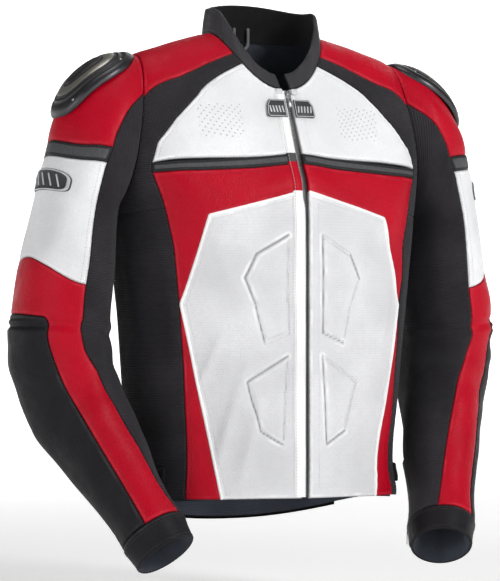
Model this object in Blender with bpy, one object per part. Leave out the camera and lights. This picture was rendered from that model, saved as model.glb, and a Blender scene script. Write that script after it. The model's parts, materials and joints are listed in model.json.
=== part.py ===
"""Leather riding jacket, upright as it is worn, arms slightly bent.

Metres, +Z up. The front faces -Y and the wearer's right side is at -X. The origin is the middle
of the neck opening, at the height of the collar seam. Every panel of the shell is its own solid.
The sleeves swing at the armholes and bend at the elbows, the zip sliders run along their zips,
their pulls swing, the waist straps lift and the hang loop tips.
"""

import math

import bpy
import numpy as np

# ---------------------------------------------------------------- driving dimensions (metres)

SEAM_GAP = 0.0006
LEATHER = 0.0028
STRETCH = 0.0024
LINING = 0.0014
LINING_DEPTH = 0.0150
PAD_DEPTH = 0.0050
PAD_THICKNESS = 0.0085

# Roundness of a cross-section of the body: 2 is an ellipse, more is squarer.
BODY_SQUARENESS = 2.25

# Rings of the body from the hem to the neck:
# half width, height at the side, front depth, height in front, back depth, height at the back.
BODY_RINGS = np.array(
    [
        [0.192, -0.610, 0.1340, -0.602, 0.118, -0.640],
        [0.197, -0.480, 0.1340, -0.480, 0.116, -0.480],
        [0.210, -0.345, 0.1340, -0.345, 0.120, -0.345],
        [0.219, -0.262, 0.1340, -0.262, 0.124, -0.262],
        [0.226, -0.205, 0.1310, -0.186, 0.126, -0.190],
        [0.240, -0.120, 0.1153, -0.146, 0.122, -0.110],
        [0.232, -0.050, 0.0996, -0.106, 0.110, -0.050],
        [0.203, -0.004, 0.0898, -0.081, 0.098, -0.005],
        [0.150, 0.018, 0.0820, -0.061, 0.085, 0.022],
        [0.082, 0.036, 0.0750, -0.043, 0.072, 0.043],
    ]
)
HEM_LEVEL = 0.0
NECK_LEVEL = 9.0
ARMPIT_LEVEL = 3.82
SHOULDER_END_LEVEL = 6.1

# The armhole lies in a plane that leans outward towards the armpit.
ARMHOLE_TOP = np.array([0.195, 0.0, 0.0])
ARMHOLE_BOTTOM = np.array([0.225, 0.0, -0.207])
ARMHOLE_CLEAR = 0.0015

# Front closure.
ZIP_CHANNEL = 0.0055
FRONT_HEM = -0.602
BUST_HEIGHT = -0.186
FRONT_NECK = -0.043

# Seams of the front, as (distance from the centre line, height).
STRIPE_TOP = [(ZIP_CHANNEL, -0.134), (0.200, -0.148)]
STRIPE_BOTTOM = [(ZIP_CHANNEL, -0.148), (0.200, -0.161)]
ABDOMEN_APEX = (ZIP_CHANNEL, BUST_HEIGHT)
ABDOMEN_CORNER = (0.133, -0.219)
ABDOMEN_WIDEST = (0.161, -0.345)
ABDOMEN_HEM = (0.115, -0.6005)
SIDE_SEAM_AT_ARMPIT = (0.185, -0.213)
SIDE_SEAM = [(0.175, -0.262), (0.1665, -0.345), (0.156, -0.6005)]
CHEST_EDGE = [(0.200, -0.148), (0.192, -0.120), (0.166, -0.087), (0.131, -0.053)]
CHEST_APEX_ANGLE = 42.0
SHOULDER_SEAM_ANGLE = 52.0
SIDE_BACK_ANGLE = 128.0

# Sections of the upper sleeve after the armhole: inner point (x, z), outer point (x, z),
# middle depth y and half depth. The first ones fan round the armpit.
UPPER_SECTIONS = [
    ((0.2295, -0.2110), (0.2400, -0.0100), 0.003, 0.079),
    ((0.2305, -0.2140), (0.2770, -0.0370), 0.003, 0.080),
    ((0.2312, -0.2175), (0.3020, -0.0800), 0.004, 0.080),
    ((0.2318, -0.2220), (0.3160, -0.1320), 0.005, 0.080),
    ((0.2320, -0.2320), (0.3300, -0.1870), 0.006, 0.080),
    ((0.2290, -0.2820), (0.3470, -0.2580), 0.009, 0.080),
    ((0.2355, -0.3620), (0.3625, -0.3480), 0.013, 0.081),
    ((0.2360, -0.3860), (0.3650, -0.3740), 0.015, 0.081),
]
UPPER_END = float(len(UPPER_SECTIONS))

ELBOW = np.array([0.300, 0.018, -0.430])
ELBOW_PIVOT = np.array([0.300, -0.012, -0.425])
ELBOW_AXIS = np.array([-0.95, 0.312, 0.0])
CUFF_END = np.array([0.209, -0.138, -0.670])
# Forearm sections: distance from the elbow, half width, half depth.
FOREARM_SECTIONS = [
    (0.050, 0.0600, 0.0720),
    (0.105, 0.0545, 0.0640),
    (0.165, 0.0490, 0.0560),
    (0.300, 0.0405, 0.0450),
]
CUFF_HEIGHT = 0.036
CUFF_ZIP_PHI = 205.0

COLLAR_FRONT_HEIGHT = 0.021
COLLAR_SIDE_HEIGHT = 0.034
COLLAR_BACK_HEIGHT = 0.041
COLLAR_LEAN = 0.06
COLLAR_THICKNESS = 0.0045

PATCH_WIDTH = 0.030
PATCH_HEIGHT = 0.026
PATCH_THICKNESS = 0.002
PATCH_MIDDLE = -0.0715
PATCH_START = 0.0064
PATCH_LIFT = 0.0023

PALETTE = {
    "red leather": ((0.50, 0.006, 0.028), 0.45, 0.0),
    "white leather": ((0.80, 0.80, 0.80), 0.48, 0.0),
    "black leather": ((0.018, 0.018, 0.020), 0.50, 0.0),
    "black stretch": ((0.030, 0.029, 0.031), 0.85, 0.0),
    "grey lining": ((0.060, 0.068, 0.090), 0.80, 0.0),
    "armour foam": ((0.045, 0.050, 0.060), 0.90, 0.0),
    "cup metal": ((0.32, 0.31, 0.28), 0.32, 1.0),
    "gunmetal": ((0.16, 0.16, 0.17), 0.35, 1.0),
    "zip tape": ((0.015, 0.015, 0.016), 0.90, 0.0),
    "rubber": ((0.025, 0.025, 0.027), 0.60, 0.0),
}


# ---------------------------------------------------------------- scene helpers


def clear_scene():
    for obj in list(bpy.data.objects):
        bpy.data.objects.remove(obj, do_unlink=True)


def material(name):
    found = bpy.data.materials.get(name)
    if found:
        return found
    colour, roughness, metallic = PALETTE[name]
    made = bpy.data.materials.new(name)
    made.use_nodes = True
    shader = made.node_tree.nodes["Principled BSDF"]
    shader.inputs["Base Color"].default_value = (*colour, 1.0)
    shader.inputs["Roughness"].default_value = roughness
    shader.inputs["Metallic"].default_value = metallic
    made.diffuse_color = (*colour, 1.0)
    return made


def pivot_empty(name, place):
    """Empty on a joint's axis, which the moving pieces are parented to."""
    empty = bpy.data.objects.new(name, None)
    empty.location = place
    bpy.context.collection.objects.link(empty)
    bpy.context.view_layer.update()
    return empty


def mesh_object(name, points, faces, finish, pivot=None):
    mesh = bpy.data.meshes.new(name)
    mesh.from_pydata([tuple(point) for point in points], [], faces)
    mesh.validate()
    obj = bpy.data.objects.new(name, mesh)
    obj.data.materials.append(material(finish))
    bpy.context.collection.objects.link(obj)
    if pivot is not None:
        obj.parent = pivot
        obj.matrix_parent_inverse = pivot.matrix_world.inverted()
    return obj


def unit(vector):
    vector = np.asarray(vector, float)
    return vector / np.linalg.norm(vector)


def mirrored(point, side):
    point = np.array(point, float)
    point[..., 0] *= side
    return point


def suffix(side):
    return "left" if side > 0 else "right"


# ---------------------------------------------------------------- surfaces


def body_ring(level):
    level = min(max(level, 0.0), NECK_LEVEL - 1e-9)
    index = int(level)
    part = level - index
    return BODY_RINGS[index] * (1 - part) + BODY_RINGS[index + 1] * part


def body_point(angle, level):
    """Outer skin of the body. Angle 0 is the front centre, 90 the left side, 180 the back."""
    width, side_z, front, front_z, back, back_z = body_ring(level)
    sine = math.sin(math.radians(angle))
    cosine = math.cos(math.radians(angle))
    power = 2 / BODY_SQUARENESS
    depth, end_z = (front, front_z) if cosine > 0 else (back, back_z)
    x = width * math.copysign(abs(sine) ** power, sine)
    y = -depth * math.copysign(abs(cosine) ** power, cosine)
    return np.array([x, y, side_z * sine**2 + end_z * cosine**2])


def body_normal(angle, level):
    step = 0.4
    level = min(max(level, 0.05), NECK_LEVEL - 0.05)
    along = body_point(angle + step, level) - body_point(angle - step, level)
    upward = body_point(angle, level + 0.04) - body_point(angle, level - 0.04)
    return unit(np.cross(along, upward))


def body_at(x, z, back=False):
    """(angle, level) of the point of the skin at this width and height."""
    low, high = 0.0, NECK_LEVEL
    for _ in range(40):
        level = (low + high) / 2
        width, side_z, _, front_z, _, back_z = body_ring(level)
        sine = min(1.0, (abs(x) / width) ** (BODY_SQUARENESS / 2))
        end_z = back_z if back else front_z
        height = side_z * sine**2 + end_z * (1 - sine**2)
        low, high = (level, high) if height < z else (low, level)
    angle = math.degrees(math.asin(sine))
    return (180 - angle if back else angle), level


ARMHOLE_DOWN = unit(ARMHOLE_BOTTOM - ARMHOLE_TOP)
ARMHOLE_NORMAL = np.array([-ARMHOLE_DOWN[2], 0.0, ARMHOLE_DOWN[0]])
ARMHOLE_DISTANCE = float(ARMHOLE_NORMAL @ ARMHOLE_TOP)


def armhole_angle(level, back, clear):
    """Angle where this ring meets the armhole plane, in front of the arm or behind it."""
    low, high = 20.0, 90.0
    for _ in range(40):
        angle = (low + high) / 2
        point = body_point(180 - angle if back else angle, level)
        beyond = ARMHOLE_NORMAL @ point > ARMHOLE_DISTANCE - clear
        low, high = (low, angle) if beyond else (angle, high)
    return 180 - angle if back else angle


def armhole_level(angle, clear):
    """Level at which the top of the shoulder meets the armhole plane."""
    low, high = SHOULDER_END_LEVEL - 0.8, NECK_LEVEL
    for _ in range(40):
        level = (low + high) / 2
        beyond = ARMHOLE_NORMAL @ body_point(angle, level) > ARMHOLE_DISTANCE - clear
        low, high = (level, high) if beyond else (low, level)
    return level


def armhole_loop(phi):
    """Outline of the sleeve at the armhole: phi 0 is the top, 90 the front, 180 the armpit."""
    top = armhole_level(90.0, 0.0)
    middle = (body_point(90, top)[2] + ARMHOLE_BOTTOM[2]) / 2
    reach = body_point(90, top)[2] - middle
    height = middle + reach * 0.995 * math.cos(math.radians(phi))
    back = math.sin(math.radians(phi)) < 0
    low, high = 3.0, top
    for _ in range(40):
        level = (low + high) / 2
        point = body_point(armhole_angle(level, back, 0.0), level)
        low, high = (level, high) if point[2] < height else (low, level)
    y = point[1]
    x = (ARMHOLE_DISTANCE - ARMHOLE_NORMAL[2] * height) / ARMHOLE_NORMAL[0]
    return np.array([x, y, height])


def smooth_between(near, part):
    """Point between near[1] and near[2], on the smooth curve through all four."""
    before, start, end, after = near
    slope = (end - before) / 2
    final = (after - start) / 2
    bend = start * 2 - end * 2 + slope + final
    return start + part * (slope + part * ((end - start) * 3 - slope * 2 - final + part * bend))


LOOP_STEPS = 72
ARMHOLE_LOOP = np.array([armhole_loop(360 * i / LOOP_STEPS) for i in range(LOOP_STEPS)])


def upper_loop_point(index, phi):
    if index == 0:
        place = (phi % 360) / 360 * LOOP_STEPS
        first = int(place) % LOOP_STEPS
        part = place - int(place)
        return ARMHOLE_LOOP[first] * (1 - part) + ARMHOLE_LOOP[(first + 1) % LOOP_STEPS] * part
    inner, outer, middle_y, half_depth = UPPER_SECTIONS[index - 1]
    inner = np.array([inner[0], middle_y, inner[1]])
    outer = np.array([outer[0], middle_y, outer[1]])
    centre = (inner + outer) / 2
    reach = (outer - inner) / 2
    back = np.array([0.0, half_depth, 0.0])
    return centre + reach * math.cos(math.radians(phi)) - back * math.sin(math.radians(phi))


def upper_point(phi, station):
    """Outer skin of the upper sleeve. Station 0 is the armhole."""
    station = min(max(station, 0.0), UPPER_END - 1e-9)
    index = int(station)
    part = station - index
    last = len(UPPER_SECTIONS)
    near = [upper_loop_point(min(max(index + k, 0), last), phi) for k in (-1, 0, 1, 2)]
    return smooth_between(near, part)


def skin_normal(surface, phi, station, last):
    step = 2.0
    near = max(station - 0.05, 0.0)
    far = min(station + 0.05, last)
    along = surface(phi + step, station) - surface(phi - step, station)
    onward = surface(phi, far) - surface(phi, near)
    return unit(np.cross(along, onward))


def upper_normal(phi, station):
    return skin_normal(upper_point, phi, station, UPPER_END)


FOREARM_DIRECTION = unit(CUFF_END - ELBOW)
FOREARM_OUTWARD = unit(np.array([1.0, 0, 0]) - FOREARM_DIRECTION[0] * FOREARM_DIRECTION)
FOREARM_BACK = -np.cross(FOREARM_DIRECTION, FOREARM_OUTWARD)
FOREARM_START = FOREARM_SECTIONS[0][0]
FOREARM_END = FOREARM_SECTIONS[-1][0]


def forearm_point(phi, reach):
    """Outer skin of the forearm, reach metres beyond the elbow."""
    distances = [section[0] for section in FOREARM_SECTIONS]
    width = np.interp(reach, distances, [section[1] for section in FOREARM_SECTIONS])
    depth = np.interp(reach, distances, [section[2] for section in FOREARM_SECTIONS])
    cosine = math.cos(math.radians(phi))
    sine = math.sin(math.radians(phi))
    centre = ELBOW + FOREARM_DIRECTION * reach
    return centre + FOREARM_OUTWARD * width * cosine - FOREARM_BACK * depth * sine


def forearm_normal(phi, reach):
    step = 2.0
    along = forearm_point(phi + step, reach) - forearm_point(phi - step, reach)
    onward = forearm_point(phi, reach + 0.004) - forearm_point(phi, reach - 0.004)
    return unit(np.cross(along, onward))


# ---------------------------------------------------------------- shells


def seam(points, counts):
    """Points along a polyline, each stretch divided into its own count of steps."""
    points = [np.array(point, float) for point in points]
    if isinstance(counts, int):
        counts = [counts] * (len(points) - 1)
    line = [points[0]]
    for start, end, count in zip(points[:-1], points[1:], counts):
        line += [start + (end - start) * (i + 1) / count for i in range(count)]
    return np.array(line)


def ruled(first, second, steps):
    """Grid between two seams of equal length; row i runs from first[i] to second[i]."""
    parts = np.linspace(0, 1, steps + 1)[None, :, None]
    return first[:, None, :] * (1 - parts) + second[:, None, :] * parts


def draw_in(grid, gap, wrap):
    """Pulls the edges of a grid of points inward, so that a seam keeps its gap."""
    pulled = grid.copy()
    pulled[0] += gap * directions(grid[1] - grid[0])
    pulled[-1] += gap * directions(grid[-2] - grid[-1])
    if not wrap:
        pulled[:, 0] += gap * directions(grid[:, 1] - grid[:, 0])
        pulled[:, -1] += gap * directions(grid[:, -2] - grid[:, -1])
    return pulled


def directions(vectors):
    return vectors / np.linalg.norm(vectors, axis=-1, keepdims=True)


def shell_mesh(outer, inner, wrap=False):
    """Closed solid between two grids of points. With wrap, the rows are closed loops."""
    rows, columns = outer.shape[:2]
    points = np.concatenate([outer.reshape(-1, 3), inner.reshape(-1, 3)])
    shift = rows * columns
    faces = []
    last = columns if wrap else columns - 1
    for i in range(rows - 1):
        for j in range(last):
            k = (j + 1) % columns
            a, b = i * columns + j, i * columns + k
            c, d = (i + 1) * columns + k, (i + 1) * columns + j
            faces.append((a, b, c, d))
            faces.append((d + shift, c + shift, b + shift, a + shift))
    for j in range(last):
        k = (j + 1) % columns
        low, high = (rows - 1) * columns + j, (rows - 1) * columns + k
        faces.append((k, j, j + shift, k + shift))
        faces.append((low, high, high + shift, low + shift))
    if not wrap:
        for i in range(rows - 1):
            a, b = i * columns, (i + 1) * columns
            c, d = a + columns - 1, b + columns - 1
            faces.append((a, b, b + shift, a + shift))
            faces.append((d, c, c + shift, d + shift))
    return points, faces


def facing_out(points, faces):
    """The same faces, turned round if the solid would be inside out."""
    volume = 0.0
    for face in faces:
        first = points[face[0]]
        for second, third in zip(face[1:-1], face[2:]):
            volume += first @ np.cross(points[second], points[third])
    return faces if volume > 0 else [face[::-1] for face in faces]


def shell(name, finish, grid, point, normal, depth, thickness, side=1, wrap=False, pivot=None,
          gap=SEAM_GAP, swell=None):
    """Shell over a grid of surface coordinates, from depth below the skin inward."""
    rows, columns = grid.shape[:2]
    skin = np.array([[point(*grid[i, j]) for j in range(columns)] for i in range(rows)])
    skin = draw_in(skin, gap, wrap)
    out = np.array([[normal(*grid[i, j]) for j in range(columns)] for i in range(rows)])
    lift = np.zeros((rows, columns, 1)) if swell is None else swell(rows, columns)
    outer = mirrored(skin + out * (lift - depth), side)
    inner = mirrored(skin - out * (depth + thickness), side)
    points, faces = shell_mesh(outer, inner, wrap)
    return mesh_object(name, points, facing_out(points, faces), finish, pivot)


def body_shell(name, finish, grid, thickness=LEATHER, depth=0.0, side=1, **extra):
    return shell(name, finish, grid, body_point, body_normal, depth, thickness, side, **extra)


def slab(name, finish, centre, axes, sizes, side=1, pivot=None, corner=0.0):
    """Flat plate with cut corners; axes are its width, height and outward directions."""
    across, upward, outward = (unit(axis) for axis in axes)
    half_width, half_height, half_depth = (size / 2 for size in sizes)
    corner = max(corner, 1e-4)
    outline = [
        (-half_width + corner, -half_height),
        (half_width - corner, -half_height),
        (half_width, -half_height + corner),
        (half_width, half_height - corner),
        (half_width - corner, half_height),
        (-half_width + corner, half_height),
        (-half_width, half_height - corner),
        (-half_width, -half_height + corner),
    ]
    points = []
    for depth in (half_depth, -half_depth):
        for x, y in outline:
            points.append(centre + across * x + upward * y + outward * depth)
    count = len(outline)
    faces = [tuple(range(count)), tuple(range(2 * count - 1, count - 1, -1))]
    for i in range(count):
        j = (i + 1) % count
        faces.append((j, i, i + count, j + count))
    points = mirrored(np.array(points), side)
    return mesh_object(name, points, facing_out(points, faces), finish, pivot)


# ---------------------------------------------------------------- body panels


def front(points, counts):
    return seam([body_at(x, z) for x, z in points], counts)


def side_seam():
    """Seam from the end of the chest stripe past the armpit down to the hem."""
    line = [body_at(*STRIPE_BOTTOM[-1]), (body_at(*SIDE_SEAM_AT_ARMPIT)[0], ARMPIT_LEVEL)]
    return seam(line + [body_at(x, z) for x, z in SIDE_SEAM], [2, 1, 2, 5])


def neck_to_armhole_seam(back):
    """Seam between the shoulder panel and the stretch strip, from the neck to the armhole."""
    line = [(SHOULDER_SEAM_ANGLE, NECK_LEVEL), (50.0, 7.9), (50.0, 7.2), (58.0, 6.4)]
    line.append((armhole_angle(SHOULDER_END_LEVEL, False, ARMHOLE_CLEAR), SHOULDER_END_LEVEL))
    if back:
        line = [(180 - angle, level) for angle, level in line]
        line[-1] = (armhole_angle(SHOULDER_END_LEVEL, True, ARMHOLE_CLEAR), SHOULDER_END_LEVEL)
    return seam(line, 1)


def armhole_edge(back, steps):
    """Edge of the body panels from the shoulder end down to the armpit."""
    levels = np.linspace(SHOULDER_END_LEVEL, ARMPIT_LEVEL, steps + 1)
    edge = [(armhole_angle(level, back, ARMHOLE_CLEAR), level) for level in levels[:-1]]
    return np.array(edge + [(90.0, ARMPIT_LEVEL)])


def chest_panel(side):
    centre = front([(ZIP_CHANNEL, -0.134), (ZIP_CHANNEL, -0.0435)], 7)
    centre[-1] = (centre[-1][0], NECK_LEVEL)
    outer = front(CHEST_EDGE, [2, 2, 2])
    outer = np.vstack([outer, [(CHEST_APEX_ANGLE, NECK_LEVEL)]])
    grid = ruled(centre, outer, 7)
    body_shell("chest_panel_" + suffix(side), "white leather", grid, side=side)


def chest_stripe(side):
    grid = ruled(front(STRIPE_TOP, 8), front(STRIPE_BOTTOM, 8), 1)
    body_shell("chest_stripe_" + suffix(side), "black leather", grid, side=side)


def red_front_panel(side):
    """Red leather that frames the abdomen panel from the zip round to the hem."""
    inner = front([ABDOMEN_APEX, ABDOMEN_CORNER, ABDOMEN_WIDEST, ABDOMEN_HEM], [6, 5, 5])
    outer = np.vstack([front(STRIPE_BOTTOM, 6), side_seam()[1:]])
    grid = ruled(inner, outer, 2)
    body_shell("red_front_panel_" + suffix(side), "red leather", grid, side=side)


def abdomen_panel(side):
    centre = front([(ZIP_CHANNEL, -0.6005), (ZIP_CHANNEL, -0.345), ABDOMEN_APEX], [5, 5])
    outer = front([ABDOMEN_HEM, ABDOMEN_WIDEST, ABDOMEN_CORNER], [5, 5])
    grid = ruled(centre, outer, 6)
    body_shell("abdomen_panel_" + suffix(side), "white leather", grid, side=side)


def side_panel(side):
    seam_front = side_seam()[2:][::-1]
    seam_back = seam_front.copy()
    seam_back[:, 0] = SIDE_BACK_ANGLE
    grid = ruled(seam_front, seam_back, 8)
    body_shell("side_stretch_panel_" + suffix(side), "black stretch", grid, STRETCH, side=side)


def raglan_strip(side):
    """Stretch strip from the collar under the shoulder to the armpit."""
    inner = [(CHEST_APEX_ANGLE, NECK_LEVEL)]
    inner += [body_at(x, z) for x, z in CHEST_EDGE[::-1]]
    inner = np.vstack([seam(inner, [1, 2, 2, 2]), side_seam()[:3]])
    outer = np.vstack([neck_to_armhole_seam(False), armhole_edge(False, 6)[1:]])
    grid = ruled(inner, outer, 3)
    body_shell("raglan_stretch_strip_" + suffix(side), "black stretch", grid, STRETCH, side=side)


def shoulder_panel(side):
    front_seam = neck_to_armhole_seam(False)
    back_seam = neck_to_armhole_seam(True)
    steps = 8
    grid = ruled(front_seam, back_seam, steps)
    last = len(front_seam) - 1
    for j in range(steps + 1):
        angle = grid[last, j, 0]
        end = armhole_level(angle, ARMHOLE_CLEAR)
        for i in range(1, last + 1):
            grid[i, j, 1] = NECK_LEVEL + (end - NECK_LEVEL) * grid_share(front_seam, i)
    grid[:, 0] = front_seam
    grid[:, -1] = back_seam
    body_shell("shoulder_panel_" + suffix(side), "red leather", grid, side=side)


def grid_share(line, i):
    """How far point i of the shoulder seam is on its way from the neck to the armhole."""
    return (NECK_LEVEL - line[i][1]) / (NECK_LEVEL - line[-1][1])


def across_back(height, steps):
    """Line across the back at this height, from the left armhole or side seam to the right."""
    angle, level = body_at(0.0, height, back=True)
    if level > ARMPIT_LEVEL:
        start = armhole_angle(level, True, ARMHOLE_CLEAR)
    else:
        start = SIDE_BACK_ANGLE
    return np.array([(start + (360 - 2 * start) * j / steps, level) for j in range(steps + 1)])


def back_shell(name, finish, lines, thickness=LEATHER):
    body_shell(name, finish, np.array(lines), thickness)


def back_yoke():
    steps = 12
    start = neck_to_armhole_seam(True)
    lines = []
    for angle, level in start[[0, 1, 2, 3, 4]]:
        lines.append([(angle + (360 - 2 * angle) * j / steps, level) for j in range(steps + 1)])
    lines.append(across_back(-0.075, steps))
    lines.append(across_back(-0.100, steps))
    back_shell("back_yoke", "red leather", lines)


def back_panels():
    stretch = [across_back(-0.100, 12), across_back(-0.118, 12), across_back(-0.136, 12)]
    back_shell("back_stretch_band", "black stretch", stretch, STRETCH)
    armpit = np.array([(a, ARMPIT_LEVEL) for a in np.linspace(90.0, 270.0, 13)])
    lines = [across_back(height, 12) for height in (-0.136, -0.163, -0.190)]
    back_shell("back_upper_panel", "white leather", [*lines, armpit])
    heights = [-0.260, -0.345, -0.430, -0.515]
    top = np.array([(a, ARMPIT_LEVEL) for a in across_back(-0.3, 12)[:, 0]])
    back_shell("back_panel", "white leather", [top] + [across_back(h, 12) for h in heights])
    hem = across_back(-0.3, 12)
    hem[:, 1] = HEM_LEVEL
    hem_panel = [across_back(-0.515, 12), across_back(-0.58, 12), hem]
    back_shell("back_hem_panel", "black leather", hem_panel)


# ---------------------------------------------------------------- collar and neck


def collar_point(angle, rise):
    """Outer face of the stand collar. Rise 0 is the neck seam, 1 the rim."""
    base = body_point(angle, NECK_LEVEL)
    sine = math.sin(math.radians(angle))
    cosine = math.cos(math.radians(angle))
    end = COLLAR_FRONT_HEIGHT if cosine > 0 else COLLAR_BACK_HEIGHT
    height = COLLAR_SIDE_HEIGHT * sine**2 + end * cosine**2
    lean = 1 - COLLAR_LEAN * rise
    front_lean = 0.013 * rise * max(cosine, 0.0) ** 2
    return np.array([base[0] * lean, base[1] * lean + front_lean, base[2] + 0.0008 + height * rise])


def collar_normal(angle, rise):
    along = collar_point(angle + 0.5, rise) - collar_point(angle - 0.5, rise)
    upward = collar_point(angle, rise + 0.05) - collar_point(angle, rise - 0.05)
    return unit(np.cross(along, upward))


def collar():
    start = 4.2
    angles = np.linspace(start, 360 - start, 33)
    grid = np.array([[(angle, rise) for angle in angles] for rise in (0.0, 0.5, 1.0)])
    shell("collar", "black leather", grid, collar_point, collar_normal, 0.0, COLLAR_THICKNESS)


LOOP_HINGE = np.array([0.0, 0.0632, 0.052])
LOOP_WIDTH = 0.026
LOOP_DROP = 0.030
LOOP_SECTION = 0.0024


def hang_loop():
    """Cord loop sewn inside the back of the neck, hanging down flat."""
    pivot = pivot_empty("hang_loop_axis", LOOP_HINGE)
    half = LOOP_WIDTH / 2 - LOOP_SECTION
    path = [(-half, 0.0), (-half, -LOOP_DROP + half)]
    arc = np.linspace(math.pi, 2 * math.pi, 9)[1:-1]
    path += [(half * math.cos(a), -LOOP_DROP + half + half * math.sin(a)) for a in arc]
    path += [(half, -LOOP_DROP + half), (half, 0.0)]
    sides = 8
    points = []
    for i, (x, z) in enumerate(path):
        before = np.array(path[max(i - 1, 0)])
        after = np.array(path[min(i + 1, len(path) - 1)])
        tangent = unit(after - before)
        outward = np.array([tangent[1], 0.0, -tangent[0]])
        centre = LOOP_HINGE + np.array([x, 0.0, z])
        for k in range(sides):
            turn = 2 * math.pi * k / sides
            reach = outward * math.cos(turn) + np.array([0.0, 1.0, 0.0]) * math.sin(turn)
            points.append(centre + reach * LOOP_SECTION)
    faces = []
    for i in range(len(path) - 1):
        for k in range(sides):
            n = (k + 1) % sides
            faces.append((i * sides + k, i * sides + n, (i + 1) * sides + n, (i + 1) * sides + k))
    last = (len(path) - 1) * sides
    faces.append(tuple(range(sides - 1, -1, -1)))
    faces.append(tuple(range(last, last + sides)))
    points = np.array(points)
    mesh_object("hang_loop", points, facing_out(points, faces), "rubber", pivot)


# ---------------------------------------------------------------- front zip


def front_line(height):
    """Point of the front centre line at this height."""
    return body_point(*body_at(0.0, height))


UPPER_RUN = unit(front_line(BUST_HEIGHT + 0.001) - front_line(FRONT_NECK - 0.001))
UPPER_OUT = np.array([0.0, UPPER_RUN[2], -UPPER_RUN[1]])
SIDEWAYS = np.array([1.0, 0.0, 0.0])


def front_sweep(name, finish, profile, heights, side, pivot=None):
    """Strip along the front: profile points are (distance from the centre, depth)."""
    count = len(profile)
    points = []
    for height in heights:
        centre = front_line(height)
        lower = front_line(height - 0.004)
        upper = front_line(height + 0.004)
        along = unit(upper - lower)
        inward = np.array([0.0, along[2], -along[1]])
        for x, depth in profile:
            points.append(centre + SIDEWAYS * x + inward * depth)
    faces = []
    for i in range(len(heights) - 1):
        for k in range(count):
            n = (k + 1) % count
            faces.append((i * count + k, i * count + n, (i + 1) * count + n, (i + 1) * count + k))
    last = (len(heights) - 1) * count
    faces.append(tuple(range(count - 1, -1, -1)))
    faces.append(tuple(range(last, last + count)))
    points = mirrored(np.array(points), side)
    return mesh_object(name, points, facing_out(points, faces), finish, pivot)


ZIP_HEIGHTS = [FRONT_HEM + 0.004, *BODY_RINGS[1:-1, 3], FRONT_NECK - 0.0035]


def zip_half(side):
    """Zip tape with its row of teeth, behind the edge of the front panels."""
    profile = [
        (0.0007, 0.0050),
        (0.0140, 0.0050),
        (0.0140, 0.0036),
        (0.0034, 0.0036),
        (0.0034, 0.0013),
        (0.0007, 0.0013),
    ]
    front_sweep("zip_tape_" + suffix(side), "zip tape", profile, ZIP_HEIGHTS, side)


def placket():
    """Raised leather strip along the wearer's right edge of the zip."""
    profile = [(0.0062, -0.0004), (0.0180, -0.0004), (0.0178, -0.0018), (0.0064, -0.0018)]
    front_sweep("front_placket", "white leather", profile, ZIP_HEIGHTS, -1)


SLIDER_REST = -0.0505
SLIDER_SIZES = (0.0092, 0.0125, 0.0048)
SLIDER_LIFT = 0.0016
PULL_SIZES = (0.0070, 0.0225, 0.0014)
PULL_LIFT = 0.0056
PULL_OVERHANG = 0.0005


def zip_slider():
    """Slider at the top of the front zip, and its pull."""
    axes = (SIDEWAYS, -UPPER_RUN, UPPER_OUT)
    seat = front_line(SLIDER_REST)
    centre = seat + UPPER_OUT * SLIDER_LIFT
    pivot = pivot_empty("zip_slider_axis", centre)
    slab("zip_slider", "gunmetal", centre, axes, SLIDER_SIZES, pivot=pivot, corner=0.0022)
    hinge = seat + UPPER_OUT * PULL_LIFT
    pivot = pivot_empty("zip_pull_axis", hinge)
    tab = hinge + UPPER_RUN * (PULL_SIZES[1] / 2 - PULL_OVERHANG)
    slab("zip_pull", "gunmetal", tab, axes, PULL_SIZES, pivot=pivot, corner=0.0018)


def chest_patch(side):
    """Half of the flat patch below the collar, beside the zip."""
    middle = front_line(PATCH_MIDDLE) + SIDEWAYS * (PATCH_START + PATCH_WIDTH / 2)
    centre = middle + UPPER_OUT * (PATCH_LIFT + PATCH_THICKNESS / 2)
    sizes = (PATCH_WIDTH, PATCH_HEIGHT, PATCH_THICKNESS)
    name = "chest_patch_" + suffix(side)
    slab(name, "rubber", centre, (SIDEWAYS, -UPPER_RUN, UPPER_OUT), sizes, side, corner=0.003)


# ---------------------------------------------------------------- inside of the body


def body_lining():
    levels = [0.12, 1.0, 2.0, 3.0, 3.7]
    angles = np.linspace(8.0, 352.0, 31)
    grid = np.array([[(angle, level) for angle in angles] for level in levels])
    body_shell("body_lining", "grey lining", grid, LINING, LINING_DEPTH)


def back_protector():
    levels = [0.75, 1.0, 2.0, 3.0, 4.0, 4.6]
    grid = np.array([[(angle, level) for angle in np.linspace(148.0, 212.0, 8)] for level in levels])
    body_shell("back_protector_pad", "armour foam", grid, PAD_THICKNESS, PAD_DEPTH)


# ---------------------------------------------------------------- waist straps


STRAP_ANGLES = (64.0, 92.0)
STRAP_LEVELS = (0.20, 0.40)
STRAP_LIFT = 0.0012


def waist_strap(side):
    """Adjuster strap on the side of the hem, sewn at its front end."""
    angles = np.linspace(STRAP_ANGLES[0], STRAP_ANGLES[1], 7)
    grid = np.array([[(angle, level) for angle in angles] for level in STRAP_LEVELS])
    hinge = body_point(STRAP_ANGLES[0], sum(STRAP_LEVELS) / 2)
    pivot = pivot_empty("waist_strap_axis_" + suffix(side), mirrored(hinge, side))
    depth = -(STRAP_LIFT + LEATHER)
    body_shell("waist_strap_" + suffix(side), "black leather", grid, LEATHER, depth, side=side, pivot=pivot)


# ---------------------------------------------------------------- sleeves


FRONT_PHI = 90.0


def front_seam_phi(station):
    """Where the outer panels of the sleeve meet the inner stretch panel, in front."""
    return 62.0 + (FRONT_PHI - 62.0) * min(station / 2.4, 1.0)


def slanted(outer, at_front):
    """Station of a seam that crosses the outer side of the sleeve at outer, the front at at_front."""
    return lambda phi: outer + (at_front - outer) * math.sin(math.radians(min(abs(phi), 90.0))) ** 2


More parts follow.
